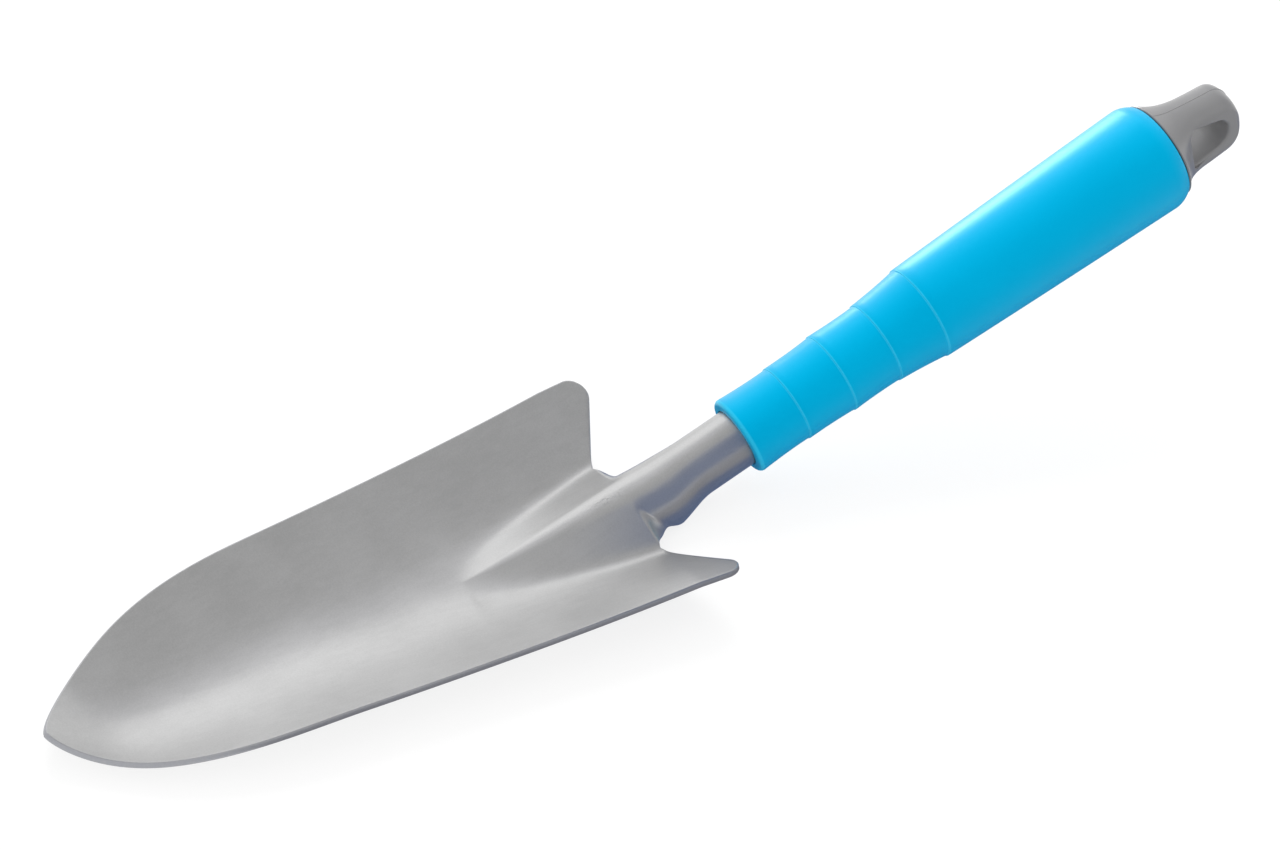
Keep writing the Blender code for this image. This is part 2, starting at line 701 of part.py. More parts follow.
parts = [make_blade(blade_steel), make_core(core_plastic), make_grip(grip_blue), make_cap(cap_grey)]
lay_on_bench(parts)
for part in parts:
    print(part.name, "ready")
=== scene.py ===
# %% [markdown]
# # A planting trowel
#
# A hand trowel: one pressed sheet of steel makes the pointed blade, the ridge down its middle and the round
# neck, a stepped blue grip goes over the neck, and a grey cap with a hang hole closes the grip. This lesson
# makes each piece as a smooth mesh, gives it a finish, and lights it like a catalogue picture.

# %% The frame
import json
import math

import bmesh
import bpy
import numpy as np
from mathutils import Matrix, Vector

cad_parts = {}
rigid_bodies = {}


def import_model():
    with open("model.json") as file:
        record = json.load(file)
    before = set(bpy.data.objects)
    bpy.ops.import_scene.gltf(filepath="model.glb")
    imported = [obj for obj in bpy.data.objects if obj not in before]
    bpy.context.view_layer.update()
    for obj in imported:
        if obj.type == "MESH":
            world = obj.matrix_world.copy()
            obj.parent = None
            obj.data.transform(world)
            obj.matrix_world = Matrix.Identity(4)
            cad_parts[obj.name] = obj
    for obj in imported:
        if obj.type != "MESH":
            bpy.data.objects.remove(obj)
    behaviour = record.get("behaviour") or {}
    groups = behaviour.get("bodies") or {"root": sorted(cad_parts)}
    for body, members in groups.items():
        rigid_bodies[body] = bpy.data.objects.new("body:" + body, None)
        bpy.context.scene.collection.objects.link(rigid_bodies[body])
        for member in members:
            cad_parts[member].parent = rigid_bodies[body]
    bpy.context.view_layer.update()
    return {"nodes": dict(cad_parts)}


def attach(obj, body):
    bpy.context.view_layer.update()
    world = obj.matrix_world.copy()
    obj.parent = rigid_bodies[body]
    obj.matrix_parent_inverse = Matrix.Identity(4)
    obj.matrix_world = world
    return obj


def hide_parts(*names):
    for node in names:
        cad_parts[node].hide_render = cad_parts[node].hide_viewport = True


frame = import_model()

MM = 0.001
print("pieces of the frame:", sorted(frame["nodes"]))

# %% [markdown]
# ## The handle's own frame
#
# The maker draws the tool along its handle: +Y to the rear, y = 0 at the grip's front face, +Z on the side
# that holds soil. The tool then lies on a bench, resting on the neck's rolled edge and its nose, so each
# finished mesh is turned and moved once, by the same matrix, and its object stays at the origin.

# %% From the handle's frame to the bench
REST_PITCH = math.radians(19.1095)
FRONT_FACE = Vector((0.0, 19.2344, 14.3288)) * MM
BENCH = Matrix.Translation(FRONT_FACE) @ Matrix.Rotation(REST_PITCH, 4, "X")


def clamp(value):
    """Keep a value between 0 and 1."""
    return min(max(value, 0.0), 1.0)


def between(first, second, share):
    """The value at a share of the way from the first to the second."""
    return first + (second - first) * share


def hump(share):
    """Rise from 0 to 1 in the middle and fall back to 0, along a parabola."""
    return 4.0 * share * (1.0 - share)


def smooth_step(value):
    """Go from 0 to 1 with level ends."""
    value = clamp(value)
    return value * value * (3.0 - 2.0 * value)


def smooth_max(first, second, fillet):
    """The higher of two surfaces, with their meeting line filled by a fillet."""
    gap = first - second
    return 0.5 * (first + second + math.sqrt(gap * gap + fillet * fillet))


def soft_ramp(run, slope):
    """A line that starts level at zero and bends softly to its slope."""
    return 0.5 * slope * (run + math.sqrt(run * run + VALLEY_FILLET * VALLEY_FILLET))


print("the handle rises", round(math.degrees(REST_PITCH), 1), "degrees from the bench")

# %% [markdown]
# ## Finished objects
#
# Every piece ends the same way: its bmesh goes to the bench and becomes an object with its finish, which
# rides on the tool's one body and stands for its node of the frame. One helper does all of it, so no piece
# can forget a step.

# %% A finished piece from a bmesh
SHARP_ANGLE = math.radians(38)


def put(name, data):
    """Put data into the scene as a new object."""
    added = bpy.data.objects.new(name, data)
    bpy.context.scene.collection.objects.link(added)
    return added


def put_mesh(name, mesh):
    """Put a bmesh into the scene as a new object, and free it."""
    data = bpy.data.meshes.new(name)
    mesh.to_mesh(data)
    mesh.free()
    return put(name, data)


def finish_piece(name, mesh, finish, replaced):
    """Turn a bmesh in the handle's frame into a finished piece of the tool."""
    piece = put_mesh(name, mesh)
    data = piece.data
    data.transform(BENCH)
    data.shade_smooth()
    data.set_sharp_from_angle(angle=SHARP_ANGLE)
    data.materials.append(finish)
    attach(piece, "root")
    if replaced:
        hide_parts(replaced)
    print(name, "has", len(data.vertices), "points and the finish", finish.name)


print("faces that meet at more than", round(math.degrees(SHARP_ANGLE)), "degrees keep a sharp edge")

# %% [markdown]
# ## Node trees
#
# Both the finishes and the turned pieces are node trees that the script builds. Two small classes keep them
# readable: a value can be used in sums like a number, and one method adds any node.

# %% Sums on sockets, and one class for node trees
class Value:
    """A socket of a node tree that can be used in sums: every sign adds a Math node."""

    def __init__(self, graph, socket):
        self.graph = graph
        self.socket = socket

    def maths(self, operation, first, second):
        return self.graph.node("ShaderNodeMath", {"operation": operation}, {0: first, 1: second})

    def __add__(self, other):
        return self.maths("ADD", self, other)

    def __radd__(self, other):
        return self.maths("ADD", other, self)

    def __sub__(self, other):
        return self.maths("SUBTRACT", self, other)

    def __rsub__(self, other):
        return self.maths("SUBTRACT", other, self)

    def __mul__(self, other):
        return self.maths("MULTIPLY", self, other)

    def __rmul__(self, other):
        return self.maths("MULTIPLY", other, self)


class Graph:
    """A node tree under construction."""

    def __init__(self, tree):
        self.tree = tree

    def node(self, kind, settings=None, sockets=None, output=0):
        """Add any node: its settings first, then the values or links of its sockets."""
        made = self.tree.nodes.new(kind)
        for name, setting in (settings or {}).items():
            setattr(made, name, setting)
        for name, value in (sockets or {}).items():
            if isinstance(value, Value):
                self.tree.links.new(value.socket, made.inputs[name])
            else:
                made.inputs[name].default_value = value
        return Value(self, made.outputs[output]) if made.outputs else None


print("sums on sockets are ready")

# %% [markdown]
# ## Finishes
#
# A finish is a small node tree. All of them read the object's own coordinates, turned back into the
# handle's frame with a Mapping node, so that a pattern that runs along the tool really does. Noise at a few
# real scales moves the colour, the roughness and the bump a little, because no factory surface is quite even.

# %% Helpers that every finish uses
STREAK_CORE = 0.4
RING_CORE = 0.3


def empty_tree(owner):
    """The node tree of a material or a world, with its first nodes cleared away."""
    owner.use_nodes = True
    owner.node_tree.nodes.clear()
    return owner.node_tree


class Finish(Graph):
    """A material's tree, with the handle's frame as its place on the tool."""

    def __init__(self, name):
        self.material = bpy.data.materials.new(name)
        super().__init__(empty_tree(self.material))
        place = self.node("ShaderNodeTexCoord", output="Object")
        self.place = self.node("ShaderNodeMapping", {"vector_type": "POINT"}, {
            "Vector": place,
            "Location": BENCH.inverted().translation,
            "Rotation": (-REST_PITCH, 0.0, 0.0),
        })

    def stretched(self, scale):
        """The place on the tool with each direction scaled, so that noise can run along the tool."""
        return self.node("ShaderNodeVectorMath", {"operation": "MULTIPLY"}, {0: self.place, 1: scale})

    def noise(self, where, scale, detail=2.0, roughness=0.5):
        return self.node("ShaderNodeTexNoise", {"noise_dimensions": "3D"}, {
            "Vector": where,
            "Scale": scale,
            "Detail": detail,
            "Roughness": roughness,
        })

    def rise(self, value, low, high):
        """0 below low, 1 above high, and a soft slope between them."""
        return self.node("ShaderNodeMapRange", {"interpolation_type": "SMOOTHSTEP"}, {
            0: value,
            1: low,
            2: high,
            3: 0.0,
            4: 1.0,
        })

    def mix(self, factor, first, second):
        """A colour between two colours."""
        return self.node("ShaderNodeMix", {"data_type": "RGBA"}, {0: factor, 6: first, 7: second}, 2)

    def streak(self, centre, radius, length):
        """A soft mask round a point in the handle's frame, drawn out along the handle."""
        squash = Vector((1.0, radius / length, 1.0))
        distance = self.node("ShaderNodeVectorMath", {"operation": "DISTANCE"}, {
            0: self.stretched(squash),
            1: centre * squash,
        }, 1)
        return 1.0 - self.rise(distance, STREAK_CORE * radius, radius)

    def ring(self, station, half_width):
        """A soft mask round the handle at one station."""
        along = self.node("ShaderNodeSeparateXYZ", {}, {"Vector": self.place}, 1)
        distance = self.node("ShaderNodeMath", {"operation": "ABSOLUTE"}, {0: along - station})
        return 1.0 - self.rise(distance, RING_CORE * half_width, half_width)

    def bump(self, height, strength, depth, under=None):
        sockets = {"Height": height, "Strength": strength, "Distance": depth}
        if under:
            sockets["Normal"] = under
        return self.node("ShaderNodeBump", {}, sockets)

    def shade(self, sockets):
        """Close the tree with a Principled shader."""
        surface = self.node("ShaderNodeBsdfPrincipled", {}, sockets)
        self.node("ShaderNodeOutputMaterial", {}, {"Surface": surface})
        return self.material


print("the finishes read places in the handle's frame")

# %% [markdown]
# ## The blade's outline
#
# Seen from above, the blade has almost straight sides that open slowly to the rear, a pointed nose, and
# shoulders that are swept back like barbs. Each part of the outline follows a short formula with the real
# sizes. The pressed sheet has edges that are softly rounded by the shears and the paint, so the flat of the
# sheet is drawn smaller by that round, and the round is added later.

# %% Sizes of the sheet and its long edges
SHEET = 1.5 * MM
EDGE_ROUND = 0.35 * MM
NECK_RADIUS = 7.5 * MM
NECK_LENGTH = 32.2 * MM
BLADE_REACH = 141.5 * MM
SHOULDER_HALF_WIDTH = 38.4 * MM
SIDE_TAPER = 0.087
NOSE_LENGTH = 59.0 * MM
NOSE_START_POWER = 2.88
NOSE_END_POWER = 0.704
SHOULDER_SWEEP = math.radians(33.9)
SHOULDER_CORNER_RADIUS = 3.8 * MM
BOSS_FOOT_HALF_WIDTH = 16.5 * MM
VALLEY_FILLET = 1.2 * MM
PRESS_FILLET = 1.8 * MM
SWEEP_EASE = 3.0 * MM

Y_NOTCH = -NECK_LENGTH
Y_HEEL = Y_NOTCH - EDGE_ROUND
Y_TIP = Y_NOTCH - BLADE_REACH
Y_NOSE = Y_TIP + NOSE_LENGTH


def side_half_width(y):
    """Half the width between the blade's long edges, with its pointed nose."""
    y_corner = Y_NOTCH + math.tan(SHOULDER_SWEEP) * (SHOULDER_HALF_WIDTH - BOSS_FOOT_HALF_WIDTH)
    straight = SHOULDER_HALF_WIDTH - SIDE_TAPER * (y_corner - y)
    along = (Y_NOSE - y) / NOSE_LENGTH
    if along <= 0.0:
        return straight
    return straight * (1.0 - min(along, 1.0) ** NOSE_START_POWER) ** NOSE_END_POWER


print("the blade is", round(2 * side_half_width(Y_NOSE) / MM, 1), "mm wide where its nose starts")

# %% The arc that rounds a shoulder, and the edges beside it
def shoulder_corner():
    """Centre of the arc that rounds a shoulder, and the directions out of its two edges."""
    sweep = math.tan(SHOULDER_SWEEP)
    side_normal = Vector((1.0, -SIDE_TAPER)).normalized()
    rear_normal = Vector((-sweep, 1.0)).normalized()
    side_reach = side_normal.dot(Vector((side_half_width(Y_NOTCH), Y_NOTCH))) - SHOULDER_CORNER_RADIUS
    rear_reach = rear_normal.dot(Vector((BOSS_FOOT_HALF_WIDTH, Y_NOTCH))) - SHOULDER_CORNER_RADIUS
    cross = side_normal.x * rear_normal.y - side_normal.y * rear_normal.x
    centre = Vector((
        (side_reach * rear_normal.y - rear_reach * side_normal.y) / cross,
        (side_normal.x * rear_reach - rear_normal.x * side_reach) / cross,
    ))
    return centre, side_normal, rear_normal


CORNER_CENTRE, SIDE_NORMAL, REAR_NORMAL = shoulder_corner()
CORNER_ROUND = SHOULDER_CORNER_RADIUS - EDGE_ROUND
CORNER_MIDDLE = CORNER_CENTRE + (SIDE_NORMAL + REAR_NORMAL).normalized() * CORNER_ROUND
SIDE_TANGENT = CORNER_CENTRE + SIDE_NORMAL * CORNER_ROUND
REAR_TANGENT = CORNER_CENTRE + REAR_NORMAL * CORNER_ROUND


def outer_edge(y):
    """Half width of the sheet's flat, up to the middle of the shoulder's arc."""
    if y <= SIDE_TANGENT.y:
        return side_half_width(y) - EDGE_ROUND
    offset = min(y - CORNER_CENTRE.y, CORNER_ROUND)
    return CORNER_CENTRE.x + math.sqrt(CORNER_ROUND ** 2 - offset ** 2)


def rear_edge(x):
    """Station of a shoulder's swept-back rear edge, from the notch to the shoulder's arc."""
    if x >= REAR_TANGENT.x:
        offset = x - CORNER_CENTRE.x
        return CORNER_CENTRE.y + math.sqrt(CORNER_ROUND ** 2 - offset ** 2)
    swept = smooth_step((x - BOSS_FOOT_HALF_WIDTH) / SWEEP_EASE)
    inset = EDGE_ROUND * (1.0 + swept * (1.0 / math.cos(SHOULDER_SWEEP) - 1.0))
    free = smooth_step((x - strip_edge(Y_HEEL)) / (BOSS_FOOT_HALF_WIDTH - strip_edge(Y_HEEL)))
    return Y_NOTCH - inset + free * soft_ramp(x - BOSS_FOOT_HALF_WIDTH, math.tan(SHOULDER_SWEEP))


print("the shoulders are", round(2 * CORNER_MIDDLE.x / MM, 1), "mm apart at their flats")

# %% The outline of the nose
NOSE_FINE_STEPS = 2000


def nose_outline(count):
    """Points at even steps round the right half of the nose, from its tip to its straight side."""
    curve = []
    for k in range(NOSE_FINE_STEPS + 1):
        y = Y_TIP + NOSE_LENGTH * (k / NOSE_FINE_STEPS) ** 2
        curve.append((side_half_width(y), y))
    curve = np.array(curve)
    tangent = np.gradient(curve, axis=0)
    tangent /= np.linalg.norm(tangent, axis=1)[:, None]
    inner = curve + EDGE_ROUND * np.stack([-tangent[:, 1], tangent[:, 0]], axis=1)
    inner = inner[inner[:, 0] > 0.0]
    inner = np.vstack([[0.0, Y_TIP + EDGE_ROUND], inner])
    inner[-1] = (outer_edge(Y_NOSE), Y_NOSE)
    run = np.concatenate([[0.0], np.cumsum(np.linalg.norm(np.diff(inner, axis=0), axis=1))])
    even = np.linspace(0.0, run[-1], count + 1)
    return np.stack([np.interp(even, run, inner[:, 0]), np.interp(even, run, inner[:, 1])], axis=1)


print("the nose is", round(NOSE_LENGTH / MM, 1), "mm long")

# %% [markdown]
# ## The blade's pressed form
#
# The press gives the sheet two forms at once. The dish is a keel that rises toward the nose, with straight
# wings that meet in a round bottom. The boss is a ridge that grows from a point on the keel up to the top of
# the neck, and stiffens the blade where it would bend. Where the two meet, the press leaves a soft valley,
# and a smooth maximum of the two heights gives exactly that.

# %% Heights of the dish
CRANK = math.radians(20.7)
KEEL_DEPTH = 3.8 * MM
WING_SLOPE = 0.56
DISH_ROUND_ENDS = 11.5 * MM
DISH_ROUND_MIDDLE = 19.5 * MM
NOSE_SAG = 2.5 * MM
NOSE_SAG_START = 80.0 * MM
NOSE_SAG_END = 125.0 * MM
TIP_LIFT = 6.6 * MM
TIP_LIFT_LENGTH = 22.0 * MM


def keel_height(y):
    """Height of the bottom of the dish along the middle of the blade, boss left out."""
    forward = Y_NOTCH - y
    straight = -KEEL_DEPTH + math.tan(CRANK) * forward
    sag = NOSE_SAG * smooth_step((forward - NOSE_SAG_START) / (NOSE_SAG_END - NOSE_SAG_START))
    lift = max(0.0, 1.0 - (y - Y_TIP) / TIP_LIFT_LENGTH)
    return straight - sag + TIP_LIFT * lift ** 3


def dish_height(x, y):
    """The plain dish: straight wings that meet in a round bottom."""
    share = clamp((Y_NOTCH - y) / BLADE_REACH)
    bottom = between(DISH_ROUND_ENDS, DISH_ROUND_MIDDLE, hump(share))
    return keel_height(y) + WING_SLOPE * (math.hypot(x, bottom) - bottom)


print("the nose's tip is", round(keel_height(Y_TIP) / MM, 1), "mm above the handle's axis")

# %% Heights of the boss, and of both together
BOSS_LENGTH = 44.5 * MM
BOSS_FOOT_POWER = 0.5
BOSS_CREST_RISE = 1.1 * MM
BOSS_CREST_SHARE = 0.545
Y_APEX = Y_NOTCH - BOSS_LENGTH


def boss_foot(y):
    """Half width of the boss where its flanks meet the wings."""
    left = max(0.0, (y - Y_APEX) / BOSS_LENGTH)
    return BOSS_FOOT_HALF_WIDTH * left ** BOSS_FOOT_POWER


def crest_height(y):
    """Height of the boss's crest: straight from the neck's top line down to the keel at the apex."""
    at_notch = NECK_RADIUS + BOSS_CREST_RISE
    share = (Y_NOTCH - y) / BOSS_LENGTH
    return between(at_notch, keel_height(Y_APEX), share)


def boss_section(y):
    """Crest radius and flank angle of the boss, its flank just touching the dish at the foot."""
    foot = max(boss_foot(y), VALLEY_FILLET)
    radius = BOSS_CREST_SHARE * foot
    rise = dish_height(foot, y) - crest_height(y) + radius
    reach = math.hypot(foot, rise)
    angle = math.atan2(foot, rise) - math.acos(min(1.0, radius / reach))
    return radius, max(angle, 0.0)


def rolled_point(along, crest, radius, angle):
    """A point of a sheet that bends over a crest and then runs straight, at a distance along it."""
    bend = radius * angle
    if along <= bend:
        turned = along / radius
        return radius * math.sin(turned), crest - radius * (1.0 - math.cos(turned))
    rest = along - bend
    x = radius * math.sin(angle) + rest * math.cos(angle)
    z = crest - radius * (1.0 - math.cos(angle)) - rest * math.sin(angle)
    return x, z


def boss_height(x, y):
    """Height of the boss alone."""
    radius, angle = boss_section(y)
    crest = crest_height(y)
    touch = radius * math.sin(angle)
    if x <= touch:
        return crest - radius + math.sqrt(radius * radius - x * x)
    return crest - radius * (1.0 - math.cos(angle)) - (x - touch) * math.tan(angle)


def pressed_height(x, y):
    """The upper face of the blade: the higher of dish and boss, with a fillet in the valley."""
    return smooth_max(dish_height(x, y), boss_height(x, y), PRESS_FILLET)


print("the boss is", round(crest_height(Y_NOTCH) / MM, 1), "mm above the handle's axis at the notches")

# %% [markdown]
# ## The rolled neck
#
# Behind the two notches the same sheet curls round a mandrel until its edges nearly meet underneath. The
# neck is drawn by walking along the sheet from the crest to its edge, while the bend's radius and angle go
# from those of the boss to those of a closed tube. That keeps the length of steel the same all the way.

# %% A point of the neck, and the notch that frees its sheet
NECK_CURL_LENGTH = 21.5 * MM
NECK_FLARE_LENGTH = 24.5 * MM
NECK_ROUND_LENGTH = 12.5 * MM
NECK_SEAM_GAP = 0.8 * MM
TANG_DEPTH = 78.0 * MM
ROLL_EASE = 0.2
NOTCH_RADIUS = 2.3 * MM
NOTCH_CENTRE = 17.5 * MM
NOTCH_LENGTH = 5.8 * MM
TAB_EDGE_SLOPE = 1.05
FILLET_LEAVE_LENGTH = 9.0 * MM
Y_CURLED = -NECK_CURL_LENGTH
Y_FLARE = -NECK_FLARE_LENGTH
Y_ROUND = -NECK_ROUND_LENGTH


def strip_half_length(y):
    """Half the length of the sheet round the neck: cut in by the notch, then out to the seam."""
    full = math.pi * NECK_RADIUS - 0.5 * NECK_SEAM_GAP - EDGE_ROUND
    notch = NOTCH_RADIUS + EDGE_ROUND
    into_notch = min(y - Y_HEEL, notch) - notch
    cut_in = NOTCH_CENTRE - math.sqrt(notch ** 2 - into_notch ** 2)
    return min(full, cut_in + soft_ramp(y - Y_NOTCH - NOTCH_LENGTH, TAB_EDGE_SLOPE))


def neck_point(share, y):
    """A point of the neck's outer face, at a share of the way from the crest to the sheet's edge."""
    along = share * strip_half_length(y)
    y_boss = min(y, Y_NOTCH)
    curled = clamp((y - Y_NOTCH) / (Y_CURLED - Y_NOTCH))
    rounded = smooth_step((y - Y_FLARE) / (Y_ROUND - Y_FLARE))
    start_radius, start_angle = boss_section(y_boss)
    radius = between(start_radius, NECK_RADIUS, rounded)
    turned = (math.hypot(curled, ROLL_EASE) - ROLL_EASE) / (math.hypot(1.0, ROLL_EASE) - ROLL_EASE)
    angle = between(start_angle, math.pi, turned)
    crest = between(NECK_RADIUS, crest_height(y_boss), 1.0 - smooth_step(curled))
    x, z = rolled_point(along, crest, radius, angle)
    filled = smooth_max(dish_height(x, y), z, PRESS_FILLET)
    leave = smooth_step((y - Y_NOTCH) / FILLET_LEAVE_LENGTH)
    return Vector((x, y, between(filled, z, leave)))


print("the neck's sheet is", round(2 * strip_half_length(0.0) / MM, 1), "mm round")

# %% [markdown]
# ## The rows of the sheet
#
# The outer face is laid out in rows of points. The nose is a fan of rays, because rows across it would bunch
# up at the tip. Behind it rows run from the middle to the long edge and lean back with the shoulders, and
# the middle strip of each row goes on alone as the neck.

# %% Rows of the blade, and rays of the nose
STRIP_NARROWING = 0.58
STRIP_COLUMNS = 34
WING_COLUMNS = 38
NOSE_RAYS = 84


def strip_edge(y):
    """Half width of the blade's middle strip, which becomes the neck behind the notch."""
    at_notch, _ = rolled_point(NOTCH_CENTRE, crest_height(Y_NOTCH), *boss_section(Y_NOTCH))
    forward = min(1.0, (Y_NOTCH - y) / BOSS_LENGTH)
    return at_notch * (1.0 - STRIP_NARROWING * forward)


def blade_row(y):
    """Points of the right half of the blade, from the middle to the long edge."""
    edge = strip_edge(y)
    row = [(edge * column / STRIP_COLUMNS, y) for column in range(STRIP_COLUMNS + 1)]
    back = max(0.0, (y - Y_NOSE) / (Y_HEEL - Y_NOSE)) ** 2
    y_outer = y + back * (CORNER_MIDDLE.y - Y_HEEL)
    for column in range(1, WING_COLUMNS + 1):
        share = 0.5 - 0.5 * math.cos(math.pi * column / WING_COLUMNS)
        x = between(edge, outer_edge(y_outer), share)
        x_rear = between(strip_edge(Y_HEEL), CORNER_MIDDLE.x, share)
        row.append((x, y + back * (rear_edge(x_rear) - Y_HEEL)))
    return [Vector((x, y_point, pressed_height(x, y_point))) for x, y_point in row]


def nose_rays():
    """Rays from the nose's centre out to its edge, with the same shares as the first row of the blade."""
    first = [point.x for point in blade_row(Y_NOSE)]
    shares = [x / first[-1] for x in first]
    rays = []
    for edge_x, edge_y in nose_outline(NOSE_RAYS):
        ray = []
        for share in shares:
            x = share * edge_x
            y = between(Y_NOSE, edge_y, share)
            ray.append(Vector((x, y, pressed_height(x, y))))
        rays.append(ray)
    return rays


print("half a row of the blade has", len(blade_row(Y_NOSE)), "points")

# %% Stations along the blade and the neck
FLAT_ROWS = 34
BOSS_ROWS = 64
HEEL_ROWS = 7
NOTCH_ROWS = 8
ROLL_ROWS = 56
TANG_ROWS = 8


def quarter_round(radius, steps):
    """Pairs of (drop, run) along a quarter round, from its foot, a radius down, to its level end."""
    turns = [0.5 * math.pi * k / steps for k in range(steps + 1)]
    return [(radius * (1.0 - math.sin(turn)), radius * (1.0 - math.cos(turn))) for turn in turns]


def blade_stations():
    """Stations of the blade's rows, close together where the boss runs into the neck."""
    heel_start = Y_HEEL - HEEL_ROWS * 0.5 * VALLEY_FILLET
    flat = np.linspace(Y_NOSE, Y_APEX, FLAT_ROWS + 1)
    boss = np.linspace(Y_APEX, heel_start, BOSS_ROWS + 1)[1:]
    heel = np.linspace(heel_start, Y_HEEL, HEEL_ROWS + 1)[1:]
    return [*flat, *boss, *heel]


def neck_stations():
    """Stations behind the notch: round the notch, along the roll and down the tang."""
    notch = [Y_HEEL + run for _, run in quarter_round(NOTCH_RADIUS + EDGE_ROUND, NOTCH_ROWS)[1:]]
    roll = np.linspace(notch[-1], Y_ROUND, ROLL_ROWS + 1)[1:]
    tang = np.linspace(Y_ROUND, TANG_DEPTH - EDGE_ROUND, TANG_ROWS + 1)[1:]
    return [*notch, *roll, *tang]


print("the sheet has", len(blade_stations()) + len(neck_stations()), "rows behind its nose")

# %% The outer face
FACE_WELD = 0.002 * MM


def join_rows(mesh, rows):
    """Join rows of points with faces, and return the last row's points."""
    last = None
    for row in rows:
        verts = [mesh.verts.new(point) for point in row]
        if last:
            for a, b, c, d in zip(last, last[1:], verts[1:], verts):
                mesh.faces.new((a, b, c, d))
        last = verts
    return last


def outer_face():
    """The sheet's whole outer face, both halves, with its normals up and out."""
    rays = nose_rays()
    rows = [blade_row(y) for y in blade_stations()]
    strip = rows[-1][:STRIP_COLUMNS + 1]
    columns = range(STRIP_COLUMNS + 1)
    neck = [[neck_point(column / STRIP_COLUMNS, y) for column in columns] for y in neck_stations()]
    mesh = bmesh.new()
    for part in (rays, rows, [strip, *neck]):
        join_rows(mesh, part)
        mirrored = [[Vector((-point.x, point.y, point.z)) for point in reversed(row)] for row in part]
        join_rows(mesh, mirrored)
    bmesh.ops.remove_doubles(mesh, verts=mesh.verts, dist=FACE_WELD)
    bmesh.ops.recalc_face_normals(mesh, faces=mesh.faces)
    mesh.normal_update()
    if sum(face.normal.z for face in mesh.faces) < 0.0:
        bmesh.ops.reverse_faces(mesh, faces=mesh.faces)
        mesh.normal_update()
    return mesh


sheet_face = outer_face()
print("the sheet's outer face has", len(sheet_face.faces), "faces")

# %% [markdown]
# ## Giving the sheet its thickness
#
# A Solidify modifier would give the wall, but the sharp crest near the boss's point is tighter than the
# sheet is thick, and an inner face moved along its normals would fold there. So the inner face is moved
# along the normals on the wings and neck, and straight down under the crest, which is what a press does.
# Round the rim, rings of points follow a quarter round, the cut face and a second quarter round.

# %% The place of the inner face, and the free edge
CREST_BLEND_LENGTH = 8.0 * MM
CREST_HALF_WIDTH = 3.0 * MM
LEAST_UPRIGHT = 0.3


def inner_offset(vert):
    """How far and which way the inner face lies from a point of the outer one."""
    x, y, _ = vert.co
    beneath = smooth_step((Y_NOTCH - y) / CREST_BLEND_LENGTH)
    beneath *= 1.0 - smooth_step(abs(x) / max(boss_foot(y), CREST_HALF_WIDTH))
    along_normal = -SHEET * vert.normal
    straight_down = Vector((0.0, 0.0, -SHEET / max(vert.normal.z, LEAST_UPRIGHT)))
    return along_normal.lerp(straight_down, beneath)


def rim_loop(mesh):
    """The points of the sheet's one free edge, in order."""
    edges = [edge for edge in mesh.edges if edge.is_boundary]
    following = {}
    for edge in edges:
        loop = edge.link_loops[0]
        following[loop.vert] = loop.link_loop_next.vert
    start = edges[0].link_loops[0].vert
    order = [start]
    while following[order[-1]] is not start:
        order.append(following[order[-1]])
    return order


print("the sheet's free edge has", len(rim_loop(sheet_face)), "points")

# %% The inner face and the rounded rim
RIM_STEPS = 3


def thicken(mesh):
    """Add the inner face and the rim to an outer face; the rim is marked for its wear and its painted shade.
    """
    rim_mark = mesh.verts.layers.float.new("rim")
    outer = list(mesh.verts)
    faces = list(mesh.faces)
    rim = rim_loop(mesh)
    across = []
    for before, here, after in zip([rim[-1], *rim[:-1]], rim, [*rim[1:], rim[0]]):
        along = (after.co - before.co).normalized()
        across.append(along.cross(here.normal).normalized())
    normals = [here.normal.copy() for here in rim]
    places = [here.co.copy() for here in rim]
    inner = {vert: mesh.verts.new(vert.co + inner_offset(vert)) for vert in outer}
    for face in faces:
        mesh.faces.new([inner[vert] for vert in reversed(face.verts)])
    steps = [(EDGE_ROUND - drop, run) for drop, run in quarter_round(EDGE_ROUND, RIM_STEPS)[1:]]
    steps += [(out, SHEET - down) for out, down in reversed(steps)]
    rings = [rim]
    for out, down in steps:
        ring = []
        for place, normal, outward in zip(places, normals, across):
            vert = mesh.verts.new(place + outward * out - normal * down)
            vert[rim_mark] = out / EDGE_ROUND
            ring.append(vert)
        rings.append(ring)
    rings.append([inner[vert] for vert in rim])
    for first, second in zip(rings, rings[1:]):
        for k, vert in enumerate(first):
            following = (k + 1) % len(first)
            mesh.faces.new((vert, second[k], second[following], first[following]))
    bmesh.ops.recalc_face_normals(mesh, faces=mesh.faces)


thicken(sheet_face)
open_edges = sum(1 for edge in sheet_face.edges if not edge.is_manifold)
print("the sheet is a closed body:", open_edges == 0)

# %% [markdown]
# ## Satin silver paint on the steel
#
# The blade is sprayed with a silver lacquer: fine flakes give it a metal's sheen, and the sprayed surface
# has a faint orange peel. Over the crest, where the press works the sheet hardest, the paint has small
# wrinkles. The cut rim is thinly covered and a little worn, and it is also painted a darker blue-grey,
# a painted reflection of the shaded table that it mirrors.

# %% The blade's finish and the finished blade
WRINKLE_CENTRE = Vector((0.1, -36.0, 8.9)) * MM
WRINKLE_WIDTH = 1.4 * MM
WRINKLE_LENGTH = 8.0 * MM
SILVER_DARK = (0.445, 0.445, 0.445, 1.0)
SILVER_PALE = (0.525, 0.525, 0.525, 1.0)
# painted reflection: the rim's darker blue-grey stands for the shaded table it mirrors, on top of its wear
WORN_AND_SHADED_RIM = (0.3, 0.31, 0.35, 1.0)
FLAKE_SCALE = 2600.0
MOTTLE_SCALE = 55.0
WEAR_SCALE = 1600.0
PEEL_SCALE = 900.0
DRAWN_SCALES = (700.0, 22.0, 700.0)
WRINKLE_SCALES = (1500.0, 900.0, 1500.0)


